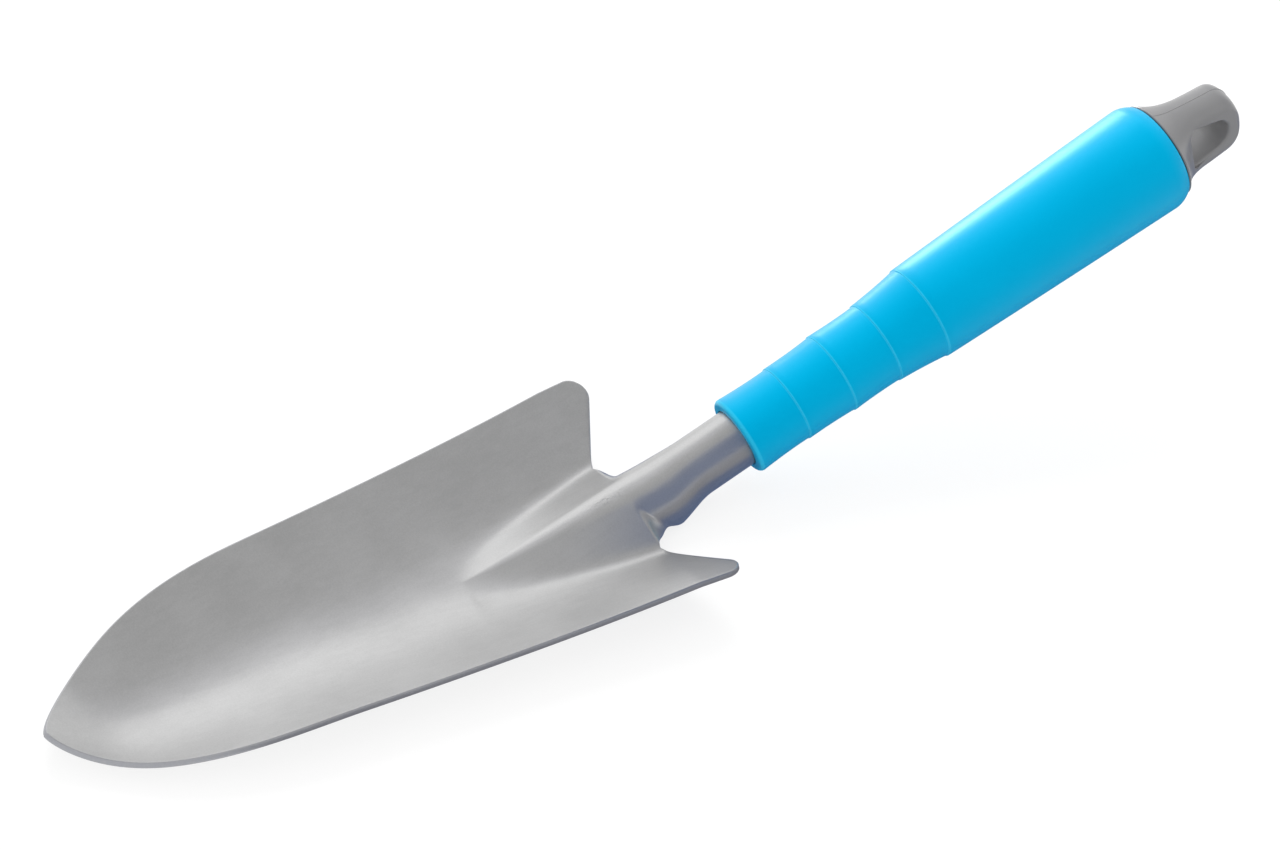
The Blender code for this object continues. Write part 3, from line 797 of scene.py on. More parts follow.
def silver_paint():
    finish = Finish("satin_silver_paint")
    flakes = finish.noise(finish.place, FLAKE_SCALE, 2.0, 0.6)
    mottle = finish.noise(finish.place, MOTTLE_SCALE, 3.0, 0.55)
    drawn = finish.noise(finish.stretched(DRAWN_SCALES), 1.0, 2.0, 0.5)
    rim = finish.node("ShaderNodeAttribute", {"attribute_name": "rim"}, {}, "Fac")
    tone = 0.42 * flakes + 0.38 * mottle + 0.2 * drawn
    paint = finish.mix(finish.rise(tone, 0.3, 0.7), SILVER_DARK, SILVER_PALE)
    # the rim's mask carries both its real wear and its painted shade
    rim_wear_and_shade = rim * (0.55 + 0.45 * finish.noise(finish.place, WEAR_SCALE, 3.0, 0.6))
    colour = finish.mix(rim_wear_and_shade * 0.8, paint, WORN_AND_SHADED_RIM)
    roughness = 0.27 + 0.06 * mottle + 0.04 * flakes + 0.1 * rim_wear_and_shade
    wrinkles = finish.noise(finish.stretched(WRINKLE_SCALES), 1.0, 3.0, 0.6)
    worked = finish.streak(WRINKLE_CENTRE, WRINKLE_WIDTH, WRINKLE_LENGTH)
    wrinkled = worked * finish.rise(wrinkles, 0.53, 0.66)
    peel = finish.bump(finish.noise(finish.place, PEEL_SCALE, 2.0, 0.5), 0.25, 0.02 * MM)
    grain = finish.bump(flakes, 0.2, 0.01 * MM, peel)
    normal = finish.bump(wrinkled, 0.8, 0.1 * MM, grain)
    return finish.shade({
        "Base Color": colour,
        "Metallic": 0.85,
        "Roughness": roughness,
        "Normal": normal,
    })


finish_piece("blade_and_neck", sheet_face, silver_paint(), "blade")

# %% [markdown]
# ## Turned pieces
#
# The grip and the core inside it are turned forms: one closed outline carried round the handle's axis. That
# is a rule, so a small Geometry Nodes tree does it. It takes the outline as edges, makes a curve of it and
# sweeps it round a circle. The radius of that circle, the number of steps and the finish are its inputs.

# %% A tree that sweeps an outline or a path
def sweep_tree(name, round_the_axis):
    """Sweep an outline round a circle, or a small circle along a path, and give it its material."""
    tree = bpy.data.node_groups.new(name, "GeometryNodeTree")
    face = tree.interface
    face.new_socket("Outline", in_out="INPUT", socket_type="NodeSocketGeometry")
    face.new_socket("Circle radius", in_out="INPUT", socket_type="NodeSocketFloat")
    face.new_socket("Steps", in_out="INPUT", socket_type="NodeSocketInt")
    face.new_socket("Finish", in_out="INPUT", socket_type="NodeSocketMaterial")
    face.new_socket("Body", in_out="OUTPUT", socket_type="NodeSocketGeometry")
    graph = Graph(tree)
    entry = tree.nodes.new("NodeGroupInput")
    given = {socket.name: Value(graph, socket) for socket in entry.outputs if socket.name}
    outline = graph.node("GeometryNodeMeshToCurve", {}, {"Mesh": given["Outline"]})
    circle = graph.node("GeometryNodeCurvePrimitiveCircle", {"mode": "RADIUS"}, {
        "Radius": given["Circle radius"],
        "Resolution": given["Steps"],
    })
    path, profile = (circle, outline) if round_the_axis else (outline, circle)
    body = graph.node("GeometryNodeCurveToMesh", {}, {
        "Curve": path,
        "Profile Curve": profile,
        "Fill Caps": not round_the_axis,
    })
    whole = graph.node("GeometryNodeRealizeInstances", {}, {"Geometry": body})
    painted = graph.node("GeometryNodeSetMaterial", {}, {"Geometry": whole, "Material": given["Finish"]})
    graph.node("NodeGroupOutput", {}, {"Body": painted})
    return tree


TURNED = sweep_tree("turned_body", True)
BEADED = sweep_tree("bead_along_a_path", False)
print("sweep trees:", TURNED.name, "and", BEADED.name)

# %% The helpers that run the trees
SWEEP_CIRCLE = 5.0 * MM
TURNED_STEPS = 160
WELD = 0.001 * MM


def settled(carrier):
    """What an object's modifier makes of it, as a bmesh with its doubles merged."""
    made = bpy.data.meshes.new_from_object(carrier.evaluated_get(bpy.context.evaluated_depsgraph_get()))
    mesh = bmesh.new()
    mesh.from_mesh(made)
    bpy.data.meshes.remove(made)
    bmesh.ops.remove_doubles(mesh, verts=mesh.verts, dist=WELD)
    return mesh


def run_sweep(name, points, closed, tree, radius, steps, finish):
    """Run a sweep tree on a line of points, and return the body it makes as a bmesh."""
    edges = [(k, k + 1) for k in range(len(points) - 1)]
    if closed:
        edges.append((len(points) - 1, 0))
    data = bpy.data.meshes.new(name)
    data.from_pydata([tuple(point) for point in points], edges, [])
    carrier = put(name, data)
    sweep = carrier.modifiers.new("sweep", "NODES")
    sweep.node_group = tree
    given = {"Circle radius": radius, "Steps": steps, "Finish": finish}
    for item in tree.interface.items_tree:
        if item.in_out == "INPUT" and item.name in given:
            sweep[item.identifier] = given[item.name]
    mesh = settled(carrier)
    bpy.data.objects.remove(carrier, do_unlink=True)
    return mesh


def turned_piece(name, profile, finish, replaced):
    """Turn a closed profile of (radius, station) points round the handle's axis."""
    points = [(radius - SWEEP_CIRCLE, station, 0.0) for radius, station in profile]
    mesh = run_sweep(name, points, True, TURNED, SWEEP_CIRCLE, TURNED_STEPS, finish)
    bmesh.ops.transform(mesh, matrix=Matrix.Rotation(math.radians(90), 4, "X"), verts=mesh.verts)
    bmesh.ops.recalc_face_normals(mesh, faces=mesh.faces)
    finish_piece(name, mesh, finish, replaced)


print("a turned piece has", TURNED_STEPS, "steps round")

# %% [markdown]
# ## The grip
#
# The grip is soft blue plastic moulded over the neck. Four short sections at its front each end in a small
# step, so that fingers find a hold, and a long barrel swells to the rear. Its outline is drawn point by
# point from the sizes: each section is a line with a slight waist, and each step has a crisp rounded edge
# that catches the light.

# %% Sizes of the grip
GRIP_LENGTH = 128.8 * MM
GRIP_FRONT_RADIUS = 10.2 * MM
GRIP_LIP_ROUND = 1.3 * MM
STEP_STATIONS = (14.9 * MM, 28.3 * MM, 41.8 * MM, 55.2 * MM)
STEP_RADII_BEFORE = (9.87 * MM, 10.45 * MM, 10.63 * MM, 12.3 * MM)
STEP_RADII_AFTER = (10.13 * MM, 10.7 * MM, 10.9 * MM, 12.57 * MM)
STEP_BLEND = 0.12 * MM
STEP_EDGE_ROUND = 0.12 * MM
WAIST_DEPTH = 0.14 * MM
BARREL_REAR_RADIUS = 14.45 * MM
BARREL_CROWN = 0.077 * MM
GRIP_END_RADIUS = 13.1 * MM
GRIP_END_ROUND = 4.0 * MM
GRIP_SKIN = 2.2 * MM
FIT = 0.3 * MM
CORE_FRONT = 55.7 * MM
TANG_BORE_RADIUS = NECK_RADIUS + FIT
LIP_POINTS = 10
SECTION_POINTS = 8
BARREL_POINTS = 26


def barrel_radius(station):
    """Outer radius of the long rear part of the grip: a cone with a slight crown."""
    start = STEP_STATIONS[-1]
    end = GRIP_LENGTH - GRIP_END_ROUND
    share = (station - start) / (end - start)
    return between(STEP_RADII_AFTER[-1], BARREL_REAR_RADIUS, share) + BARREL_CROWN * hump(share)


print("the grip is", round(2 * barrel_radius(STEP_STATIONS[-1]) / MM, 1), "mm thick where its barrel starts")

# %% The grip's outline and bore
STEP_EDGE_POINTS = 2


def grip_outline():
    """The grip's outer outline from front to rear, as (radius, station)."""
    outline = [(GRIP_FRONT_RADIUS - drop, run) for drop, run in quarter_round(GRIP_LIP_ROUND, LIP_POINTS)]
    start_radius = GRIP_FRONT_RADIUS
    start = GRIP_LIP_ROUND
    for station, before, after in zip(STEP_STATIONS, STEP_RADII_BEFORE, STEP_RADII_AFTER):
        end = station - STEP_BLEND
        for k in range(1, SECTION_POINTS + 1):
            share = k / SECTION_POINTS
            radius = between(start_radius, before, share) - WAIST_DEPTH * hump(share)
            outline.append((radius, between(start, end, share)))
        for drop, run in quarter_round(STEP_EDGE_ROUND, STEP_EDGE_POINTS):
            outline.append((after - drop, station + run))
        start_radius = after
        start = station + STEP_EDGE_ROUND
    end = GRIP_LENGTH - GRIP_END_ROUND
    for k in range(1, BARREL_POINTS + 1):
        station = between(start, end, k / BARREL_POINTS)
        outline.append((barrel_radius(station), station))
    drop = BARREL_REAR_RADIUS - GRIP_END_RADIUS
    for k in range(1, LIP_POINTS + 1):
        share = k / LIP_POINTS
        outline.append((BARREL_REAR_RADIUS - drop * share ** 2, end + GRIP_END_ROUND * share))
    return outline


def grip_bore():
    """The bore over the neck and the pocket over the core, from front to rear."""
    rear = barrel_radius(GRIP_LENGTH - GRIP_END_ROUND) - GRIP_SKIN
    return [
        (TANG_BORE_RADIUS, 0.0),
        (TANG_BORE_RADIUS, CORE_FRONT - FIT),
        (barrel_radius(CORE_FRONT) - GRIP_SKIN, CORE_FRONT - FIT),
        (rear, GRIP_LENGTH - GRIP_END_ROUND),
        (rear, GRIP_LENGTH),
    ]


grip_profile = [*reversed(grip_outline()), *grip_bore()]
print("the grip's profile has", len(grip_profile), "points")

# %% [markdown]
# ## Soft blue plastic
#
# The grip is moulded in a soft plastic with a very fine spark-eroded texture. It is even in colour, with a
# faint cloudiness. Its front lip and the edges of its steps carry a painted highlight: they are painted paler
# to stand for the light that their rounded edges catch.

# %% The grip's finish and the finished grip
# painted highlight: half the width of the pale band painted round each step's edge
STEP_EDGE_HIGHLIGHT_WIDTH = 0.4 * MM
BLUE_DEEP = (0.0, 0.36, 0.635, 1.0)
BLUE_CLEAR = (0.0, 0.395, 0.69, 1.0)
BLUE_PAINTED_HIGHLIGHT = (0.08, 0.75, 1.0, 1.0)
BLUE_GLOSS = (0.0, 0.75, 1.0, 1.0)


def blue_plastic():
    finish = Finish("soft_blue_plastic")
    cloud = finish.noise(finish.place, 38.0, 3.0, 0.5)
    texture = finish.noise(finish.place, 3200.0, 2.0, 0.6)
    # painted highlight: a pale band round the front lip and round each step's edge, standing for the light
    # those edges catch
    edges = finish.ring(0.5 * GRIP_LIP_ROUND, 0.5 * GRIP_LIP_ROUND)
    for station in STEP_STATIONS:
        edges = edges + finish.ring(station, STEP_EDGE_HIGHLIGHT_WIDTH)
    blue = finish.mix(cloud, BLUE_DEEP, BLUE_CLEAR)
    colour = finish.mix(edges * (0.18 + 0.24 * texture), blue, BLUE_PAINTED_HIGHLIGHT)
    roughness = 0.31 + 0.06 * cloud + 0.04 * texture
    normal = finish.bump(texture, 0.3, 0.03 * MM)
    return finish.shade({
        "Base Color": colour,
        "Roughness": roughness,
        "Specular Tint": BLUE_GLOSS,
        "Normal": normal,
    })


turned_piece("blue_grip", grip_profile, blue_plastic(), "grip_sleeve")

# %% [markdown]
# ## The hidden core
#
# Inside the grip a plastic tube holds the steel tang and takes the cap's spigot. Nobody sees it, but it is
# what makes the handle stiff, so it is turned with the same tree. Its plastic is left rough.

# %% The core and its finish
TANG_STOP = TANG_DEPTH + FIT
CORE_STOP = 2.0 * MM
CORE_STOP_BORE_RADIUS = 6.0 * MM
CORE_CHAMFER = 0.6 * MM
SPIGOT_RADIUS = 8.7 * MM
CORE_DARK = (0.13, 0.13, 0.14, 1.0)
CORE_PALE = (0.18, 0.18, 0.19, 1.0)


def core_profile():
    """The core's closed profile: outer face, tang bore, stop ring and socket for the spigot."""
    front = barrel_radius(CORE_FRONT) - GRIP_SKIN - FIT
    rear = barrel_radius(GRIP_LENGTH - GRIP_END_ROUND) - GRIP_SKIN - FIT
    return [
        (rear, GRIP_LENGTH),
        (rear, GRIP_LENGTH - GRIP_END_ROUND),
        (front, CORE_FRONT + CORE_CHAMFER),
        (front - CORE_CHAMFER, CORE_FRONT),
        (TANG_BORE_RADIUS, CORE_FRONT),
        (TANG_BORE_RADIUS, TANG_STOP),
        (CORE_STOP_BORE_RADIUS, TANG_STOP),
        (CORE_STOP_BORE_RADIUS, TANG_STOP + CORE_STOP),
        (SPIGOT_RADIUS + FIT, TANG_STOP + CORE_STOP),
        (SPIGOT_RADIUS + FIT, GRIP_LENGTH),
    ]


def core_plastic():
    finish = Finish("core_plastic")
    cloud = finish.noise(finish.place, 120.0, 3.0, 0.5)
    colour = finish.mix(cloud, CORE_DARK, CORE_PALE)
    normal = finish.bump(finish.noise(finish.place, 1500.0), 0.3, 0.04 * MM)
    return finish.shade({"Base Color": colour, "Roughness": 0.5 + 0.1 * cloud, "Normal": normal})


turned_piece("handle_core_tube", core_profile(), core_plastic(), "handle_core")

# %% [markdown]
# ## The hang cap
#
# The grey cap starts round at the grip and is pinched to a flat tab with a D-shaped hole for a hook. It is a
# loft: the sections begin as circles and end as rounded bars, with the same number of points in each, so
# plain quads join them and the scooped flanks stay smooth.

# %% Sizes and sections of the cap
CAP_SEAM = 0.4 * MM
CAP_BASE_RADIUS = 12.9 * MM
CAP_LENGTH = 22.7 * MM
TAB_HALF_THICKNESS = 5.4 * MM
TAB_SCOOP_LENGTH = 10.5 * MM
TAB_SCOOP_POWER = 2.2
TAB_ROOT_HALF_HEIGHT = 12.1 * MM
TAB_END_HALF_HEIGHT = 9.6 * MM
TAB_END_DROP = 1.7 * MM
TAB_ROOT_BLEND = 5.0 * MM
TAB_EDGE_ROUND = 2.5 * MM
TAB_ROUND_HEIGHT = 4.2 * MM
TAB_END_ROUND = 5.6 * MM
TAB_END_FULLNESS = 2.4
SPIGOT_LENGTH = 14.0 * MM
SPIGOT_WALL = 1.7 * MM
SPIGOT_FLOOR = 1.0 * MM
Y_CAP = GRIP_LENGTH + CAP_SEAM
CAP_SIDES = 120
CAP_SCOOP_ROWS = 26
CAP_TAB_ROWS = 10
CAP_END_ROWS = 26
CAP_END_CLOSING = 0.9995
CAP_RIM_ROUND = 0.35 * MM


def rounded_bar(half_width, half_height, round_height, centre=0.0):
    """Points round a bar with a full round over its narrow edges, which is a circle at full height."""
    round_height = min(round_height, half_height)
    quarter = CAP_SIDES // 4
    points = []
    for corner in range(4):
        sign_z = 1.0 if corner in (0, 1) else -1.0
        for k in range(quarter):
            turn = 0.5 * math.pi * (corner + (k + 0.5) / quarter)
            x = half_width * math.cos(turn)
            z = centre + sign_z * (half_height - round_height) + round_height * math.sin(turn)
            points.append((x, z))
    return points


def scoop(station, length):
    """Go from 0 at the rim to 1 at a length behind it, along a hollow curve with a level end."""
    left = clamp((length - station) / (length - CAP_RIM_ROUND))
    return 1.0 - left ** TAB_SCOOP_POWER


def cap_section(station):
    """Half thickness, half height, edge round and middle of the cap at a distance behind the seam."""
    scooped = scoop(station, TAB_SCOOP_LENGTH)
    half_width = between(CAP_BASE_RADIUS, TAB_HALF_THICKNESS, scooped)
    tab = between(TAB_ROOT_HALF_HEIGHT, TAB_END_HALF_HEIGHT, station / CAP_LENGTH)
    half_height = between(CAP_BASE_RADIUS, tab, scoop(station, TAB_ROOT_BLEND))
    round_height = between(CAP_BASE_RADIUS, TAB_ROUND_HEIGHT, scooped)
    into_end = max(0.0, (station - CAP_LENGTH + TAB_END_ROUND) / TAB_END_ROUND)
    half_height *= math.sqrt(max(0.0, 1.0 - into_end ** TAB_END_FULLNESS))
    into_edge = max(0.0, (station - CAP_LENGTH + TAB_EDGE_ROUND) / TAB_EDGE_ROUND)
    half_width -= TAB_EDGE_ROUND * (1.0 - math.sqrt(max(0.0, 1.0 - into_edge ** 2)))
    return half_width, half_height, round_height, -TAB_END_DROP * scoop(station, CAP_LENGTH)


def cap_stations():
    """Distances behind the seam of the cap's sections, close together at the rounded end."""
    hollow = np.linspace(CAP_RIM_ROUND, TAB_SCOOP_LENGTH, CAP_SCOOP_ROWS)
    tab = np.linspace(TAB_SCOOP_LENGTH, CAP_LENGTH - TAB_END_ROUND, CAP_TAB_ROWS)[1:]
    turns = [0.5 * math.pi * k / CAP_END_ROWS for k in range(1, CAP_END_ROWS + 1)]
    end = [CAP_LENGTH - TAB_END_ROUND * (1.0 - math.sin(turn) * CAP_END_CLOSING) for turn in turns]
    return [*hollow, *tab, *end]


print("the cap ends", round((Y_CAP + CAP_LENGTH) / MM, 1), "mm behind the grip's front face")

# %% The cap's body without its hole
CAP_RIM_STEPS = 3


def loft(sections):
    """Join closed sections of equal point counts with faces and close both ends."""
    mesh = bmesh.new()
    rings = [[mesh.verts.new(point) for point in section] for section in sections]
    for first, second in zip(rings, rings[1:]):
        for k, vert in enumerate(first):
            following = (k + 1) % len(first)
            mesh.faces.new((vert, first[following], second[following], second[k]))
    mesh.faces.new(list(reversed(rings[0])))
    mesh.faces.new(rings[-1])
    bmesh.ops.recalc_face_normals(mesh, faces=mesh.faces)
    return mesh


def cap_sections():
    """The sections of the cap: hollow spigot, rounded rim, scooped flanks and tab."""
    inner = SPIGOT_RADIUS - SPIGOT_WALL
    front = Y_CAP - SPIGOT_LENGTH
    rounds = [
        (inner, Y_CAP - SPIGOT_FLOOR),
        (inner, front),
        (SPIGOT_RADIUS, front),
        (SPIGOT_RADIUS, Y_CAP),
    ]
    for drop, run in quarter_round(CAP_RIM_ROUND, CAP_RIM_STEPS):
        rounds.append((CAP_BASE_RADIUS - drop, Y_CAP + run))
    sections = []
    for radius, y in rounds:
        sections.append([(x, y, z) for x, z in rounded_bar(radius, radius, radius)])
    for station in cap_stations():
        sections.append([(x, Y_CAP + station, z) for x, z in rounded_bar(*cap_section(station))])
    return sections


print("the cap is lofted through", len(cap_sections()), "sections")

# %% [markdown]
# ## The hang hole
#
# The hole has the shape of a D, flat at the front and round behind, so that the tool centres itself on a
# hook. It is cut with a bar whose mouths flare, which leaves the moulded round on its lips. The bar is a loft
# too, and a Boolean modifier with the exact solver takes it out of the cap.

# %% A bar with the hole's shape
HOLE_START = 6.5 * MM
HOLE_FRONT_DROP = 0.7 * MM
HOLE_REAR_DROP = 1.5 * MM
HOLE_LENGTH = 11.7 * MM
HOLE_HALF_HEIGHT = 5.9 * MM
HOLE_CORNER_RADIUS = 1.2 * MM
HOLE_END_RADIUS = 4.6 * MM
HOLE_LIP_ROUND = 0.8 * MM
HOLE_SIDES = 120
LIP_RINGS = 8


def belt(circles, grow):
    """Outline of a belt round circles (y, z, radius), each grown by the same amount."""
    outline = []
    for k in range(HOLE_SIDES):
        turn = 2.0 * math.pi * k / HOLE_SIDES
        across = Vector((math.cos(turn), math.sin(turn)))
        reach = [across.x * y + across.y * z + radius for y, z, radius in circles]
        y, z, radius = circles[reach.index(max(reach))]
        outline.append((y + (radius + grow) * across.x, z + (radius + grow) * across.y))
    return outline


def hole_bar():
    """A D-shaped bar through the tab with flared mouths."""
    y_start = Y_CAP + HOLE_START
    corner_z = HOLE_HALF_HEIGHT - HOLE_CORNER_RADIUS
    circles = [
        (y_start + HOLE_CORNER_RADIUS, corner_z - HOLE_FRONT_DROP, HOLE_CORNER_RADIUS),
        (y_start + HOLE_CORNER_RADIUS, -corner_z - HOLE_FRONT_DROP, HOLE_CORNER_RADIUS),
        (y_start + HOLE_LENGTH - HOLE_END_RADIUS, -HOLE_REAR_DROP, HOLE_END_RADIUS),
    ]
    half = [(2.0 * TAB_HALF_THICKNESS, HOLE_LIP_ROUND)]
    half += [(TAB_HALF_THICKNESS - run, drop) for drop, run in quarter_round(HOLE_LIP_ROUND, LIP_RINGS)]
    stations = [(-x, grow) for x, grow in half] + [(x, grow) for x, grow in reversed(half)]
    return loft([[(x, y, z) for y, z in belt(circles, grow)] for x, grow in stations])


print("the hang hole is", round(HOLE_LENGTH / MM, 1), "mm long")

# %% The cap with its hole
def cut_hole(body, cutter):
    """Cut one bmesh from another with a Boolean modifier, and return the result."""
    blank = put_mesh("cap_blank", body)
    bar = put_mesh("hole_bar", cutter)
    cut = blank.modifiers.new("hang_hole", "BOOLEAN")
    cut.operation = "DIFFERENCE"
    cut.solver = "EXACT"
    cut.object = bar
    result = settled(blank)
    for holder in (blank, bar):
        bpy.data.objects.remove(holder, do_unlink=True)
    return result


cap_mesh = cut_hole(loft(cap_sections()), hole_bar())
print("the cap with its hole has", len(cap_mesh.faces), "faces")

# %% [markdown]
# ## Hard grey plastic
#
# The cap is a harder, smoother plastic than the grip. Two noises of its own, with less bump and a lower
# roughness than the grip's, give it a finer skin and a sharper highlight. The bead further on shares it.

# %% The cap's finish and the finished cap
GREY_DARK = (0.2, 0.2, 0.205, 1.0)
GREY_PALE = (0.235, 0.235, 0.24, 1.0)


def grey_plastic():
    finish = Finish("satin_grey_plastic")
    cloud = finish.noise(finish.place, 90.0, 3.0, 0.5)
    texture = finish.noise(finish.place, 2200.0, 2.0, 0.55)
    colour = finish.mix(cloud, GREY_DARK, GREY_PALE)
    roughness = 0.27 + 0.06 * cloud + 0.05 * texture
    normal = finish.bump(texture, 0.2, 0.02 * MM)
    return finish.shade({"Base Color": colour, "Roughness": roughness, "Normal": normal})


GREY_PLASTIC = grey_plastic()
finish_piece("grey_hang_cap", cap_mesh, GREY_PLASTIC, "hang_cap")

# %% [markdown]
# ## The cap's parting line
#
# The two halves of the mould meet in the middle of the cap, and they leave a fine raised bead along the
# tab's narrow edges. It follows a path, so the second sweep tree lays a thin round bead on it, sunk so that
# only its top stands out of the plastic.

# %% The bead along the parting line
BEAD_RADIUS = 0.2 * MM
BEAD_SUNK = 0.1 * MM
BEAD_SIDES = 12


def parting_path():
    """Points along the cap's middle plane, over the top edge, round the end and back."""
    top = [(Y_CAP + CAP_RIM_ROUND, CAP_BASE_RADIUS)]
    bottom = [(Y_CAP + CAP_RIM_ROUND, -CAP_BASE_RADIUS)]
    for station in cap_stations():
        _, half_height, _, middle = cap_section(station)
        sunk = max(0.0, half_height - BEAD_SUNK)
        top.append((Y_CAP + station, middle + sunk))
        bottom.append((Y_CAP + station, middle - sunk))
    return [Vector((0.0, y, z)) for y, z in [*top, *reversed(bottom)]]


bead = run_sweep("parting_bead", parting_path(), False, BEADED, BEAD_RADIUS, BEAD_SIDES, GREY_PLASTIC)
bmesh.ops.recalc_face_normals(bead, faces=bead.faces)
finish_piece("cap_parting_bead", bead, GREY_PLASTIC, None)

# %% [markdown]
# ## The studio
#
# A white table and a white room give the clean background and the plain level of light. The table is part
# lit paint and part glow: the camera sees it as white, but it keeps the tool's shadow.

# %% The table
TABLE_HALF = 4.0
TABLE_DROP = 0.1 * MM
TABLE_GLOW = 1.08
TABLE_GLOW_SHARE = 0.75
TABLE_PAINT = (0.8, 0.8, 0.8, 1.0)
WHITE = (1.0, 1.0, 1.0, 1.0)


def staged_quad(name, corners):
    """A flat four-cornered thing of the studio, which isn't part of the tool."""
    mesh = bmesh.new()
    mesh.faces.new([mesh.verts.new(corner) for corner in corners])
    quad = put_mesh(name, mesh)
    return quad


def studio_material(name):
    """An empty material for a thing of the studio, and its tree."""
    material = bpy.data.materials.new(name)
    return material, Graph(empty_tree(material))


def table_white():
    """White that still takes shadows: part lit paint, and part glow for rays that look at it."""
    material, graph = studio_material("table_white")
    lit = graph.node("ShaderNodeBsdfDiffuse", {}, {"Color": TABLE_PAINT})
    glow = graph.node("ShaderNodeEmission", {}, {"Color": WHITE, "Strength": TABLE_GLOW})
    camera = graph.node("ShaderNodeLightPath", output="Is Camera Ray")
    glossy = graph.node("ShaderNodeLightPath", output="Is Glossy Ray")
    clear = graph.node("ShaderNodeLightPath", output="Is Transmission Ray")
    looked_at = (camera + glossy + clear) * TABLE_GLOW_SHARE
    surface = graph.node("ShaderNodeMixShader", {}, {0: looked_at, 1: lit, 2: glow})
    graph.node("ShaderNodeOutputMaterial", {}, {"Surface": surface})
    return material


signs = [(-1, -1), (1, -1), (1, 1), (-1, 1)]
table = staged_quad("table", [(x * TABLE_HALF, y * TABLE_HALF, -TABLE_DROP) for x, y in signs])
table.data.materials.append(table_white())
print("the table is", 2 * TABLE_HALF, "m wide")

# %% The room
room = bpy.data.worlds.new("white_room")
walls = Graph(empty_tree(room))
air = walls.node("ShaderNodeBackground", {}, {"Color": WHITE, "Strength": 1.0})
walls.node("ShaderNodeOutputWorld", {}, {"Surface": air})
bpy.context.scene.world = room
print("the room is white all round:", room.name)

# %% [markdown]
# ## Screens and lamps
#
# Satin metal shows what stands round it, so plain screens and cards that only gloss meets stand round the
# tool: a grey one overhead with a paler border, which the far wing and the keel mirror, and darker blue-grey
# ones low on the camera's side, which the neck mirrors. Three weak lamps stand on the far side: a broad
# softbox, a key light that gives no gloss, and one with a grid that gives the grip only the gloss of its
# pale far edge. In the white room alone the steel would mirror white on every side.

# %% The screens and the cards
OVERHEAD_TONE = (0.55, 0.55, 0.55, 1.0)
BORDER_TONE = (0.8, 0.8, 0.82, 1.0)
NEAR_TONE = (0.33, 0.33, 0.36, 1.0)
DARK_TONE = (0.1, 0.16, 0.33, 1.0)


def screen(name, corners, tone):
    """A plain screen or card that only gloss meets."""
    material, graph = studio_material(name)
    glow = graph.node("ShaderNodeEmission", {}, {"Color": tone, "Strength": 1.0})
    graph.node("ShaderNodeOutputMaterial", {}, {"Surface": glow})
    quad = staged_quad(name, corners)
    quad.data.materials.append(material)
    quad.visible_camera = False
    quad.visible_diffuse = False
    quad.visible_shadow = False


SCREENS = (
    ("overhead_screen", OVERHEAD_TONE,
     (-0.7, -0.9, 1.9), (-0.7, 1.6, 1.9), (1.9, 1.6, 1.6), (1.9, -0.9, 1.6)),
    ("overhead_border", BORDER_TONE,
     (-2.0, -0.9, 2.06), (-2.0, 1.6, 2.06), (-0.7, 1.6, 1.9), (-0.7, -0.9, 1.9)),
    ("neck_screen", DARK_TONE,
     (0.03, -0.02, 0.12), (0.03, 0.03, 0.12), (0.1, 0.045, 0.04), (0.1, -0.03, 0.04)),
    ("rear_screen", NEAR_TONE,
     (-0.05, 0.5, 0.1), (0.4, 0.5, 0.1), (0.4, 0.5, 0.7), (-0.05, 0.5, 0.7)),
    ("near_screen", NEAR_TONE,
     (0.4, -0.3, 0.1), (0.4, 0.7, 0.1), (0.4, 0.7, 0.0), (0.4, -0.3, 0.0)),
    ("near_card", NEAR_TONE,
     (0.03, -0.12, 0.0), (0.4, -0.3, 0.0), (0.4, 0.7, 0.0), (0.03, 0.4, 0.0)),
    ("under_card", DARK_TONE,
     (-0.03, -0.03, 0.0), (0.03, -0.03, 0.0), (0.03, 0.4, 0.0), (-0.03, 0.4, 0.0)),
)
for name, tone, *corners in SCREENS:
    screen(name, corners, tone)
print(len(SCREENS), "screens and cards, the overhead one at", OVERHEAD_TONE[0], "of white")

# %% The lamps
GRID_SPREAD = math.radians(66)


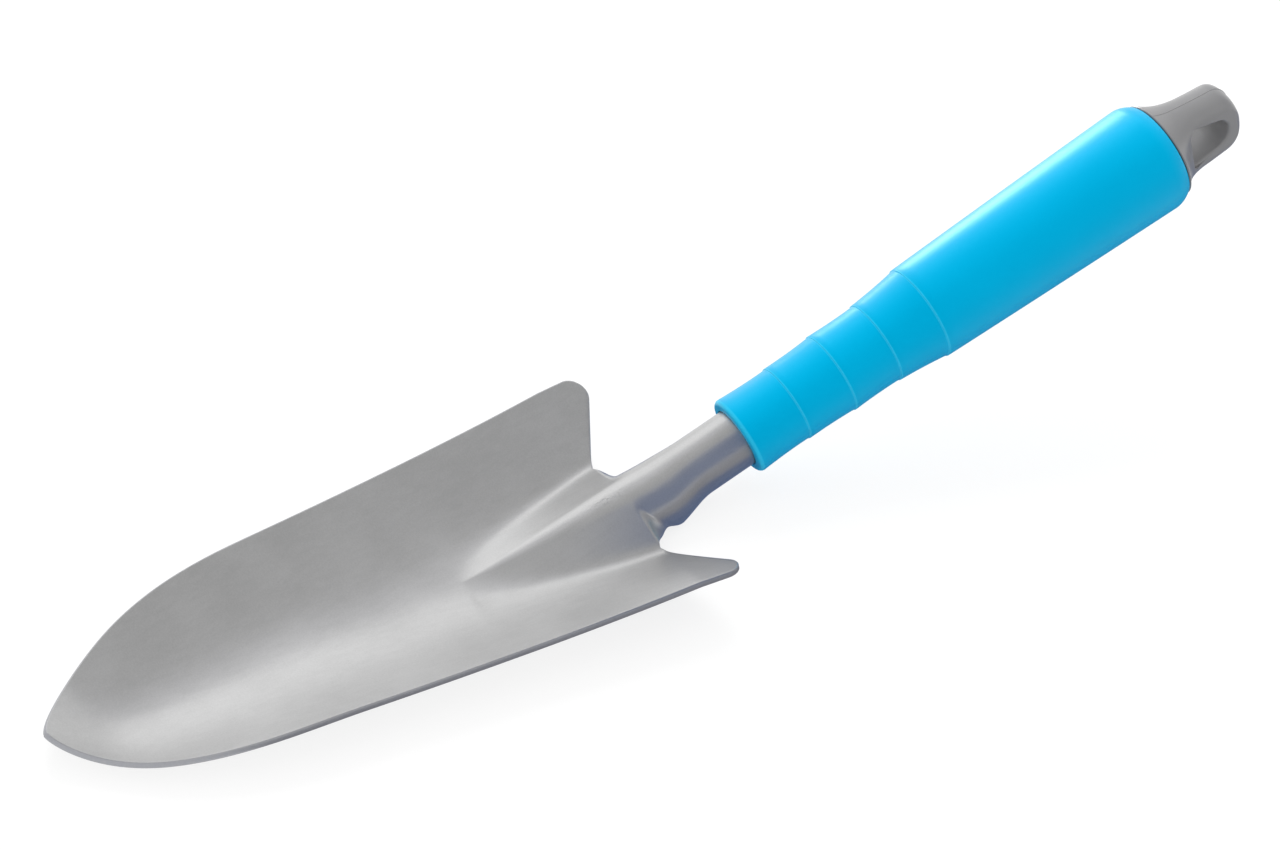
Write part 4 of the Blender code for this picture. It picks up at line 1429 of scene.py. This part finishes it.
def softbox(name, place, target, width, height, watts):
    """A flat lamp that looks at a point."""
    light = bpy.data.lights.new(name, "AREA")
    light.shape = "RECTANGLE"
    light.size = width
    light.size_y = height
    light.energy = watts
    lamp = put(name, light)
    lamp.location = place
    lamp.rotation_mode = "QUATERNION"
    lamp.rotation_quaternion = (Vector(place) - Vector(target)).to_track_quat("Z", "Y")
    return lamp


softbox("far_softbox", (-1.25, 0.1, 0.75), (0.0, 0.0, 0.03), 0.9, 0.9, 1.2)
key = softbox("key_light", (-0.6, 0.25, 0.75), (0.0, 0.05, 0.05), 0.5, 0.5, 4.5)
key.visible_glossy = False
gridded = softbox("grip_softbox", (-0.36, 0.25, 0.1), (-0.02, 0.31, 0.07), 0.26, 0.2, 0.6)
gridded.data.spread = GRID_SPREAD
gridded.visible_diffuse = False

# %% [markdown]
# ## The camera
#
# The picture was taken with a long lens from above the right side of the tool, and the camera was rolled so
# that the tool runs from corner to corner. Its place and turn were worked out from the tool's own outlines.

# %% The camera
LENS = 90.0
SENSOR_WIDTH = 36.0
NEAREST = 0.01
FARTHEST = 100.0
CAMERA_PLACE = Vector((456.52, -147.46, 610.4)) * MM
CAMERA_RIGHT = Vector((0.52728, 0.81638, -0.23558))
CAMERA_UP = Vector((-0.59497, 0.55268, 0.58357))
CAMERA_BACK = CAMERA_RIGHT.cross(CAMERA_UP)

camera_data = bpy.data.cameras.new("camera")
camera_data.lens = LENS
camera_data.sensor_width = SENSOR_WIDTH
camera_data.clip_start = NEAREST
camera_data.clip_end = FARTHEST
camera = put("camera", camera_data)
turn = Matrix((CAMERA_RIGHT, CAMERA_UP, CAMERA_BACK)).transposed().to_4x4()
camera.matrix_world = BENCH @ Matrix.Translation(CAMERA_PLACE) @ turn
bpy.context.scene.camera = camera
bpy.context.scene.view_settings.view_transform = "Standard"
print("the camera is", round(CAMERA_PLACE.length, 2), "m from the grip's front face")

# %% [markdown]
# ## Bringing the scene up to date
#
# The last step brings the scene's view layer up to date.

bpy.context.view_layer.update()
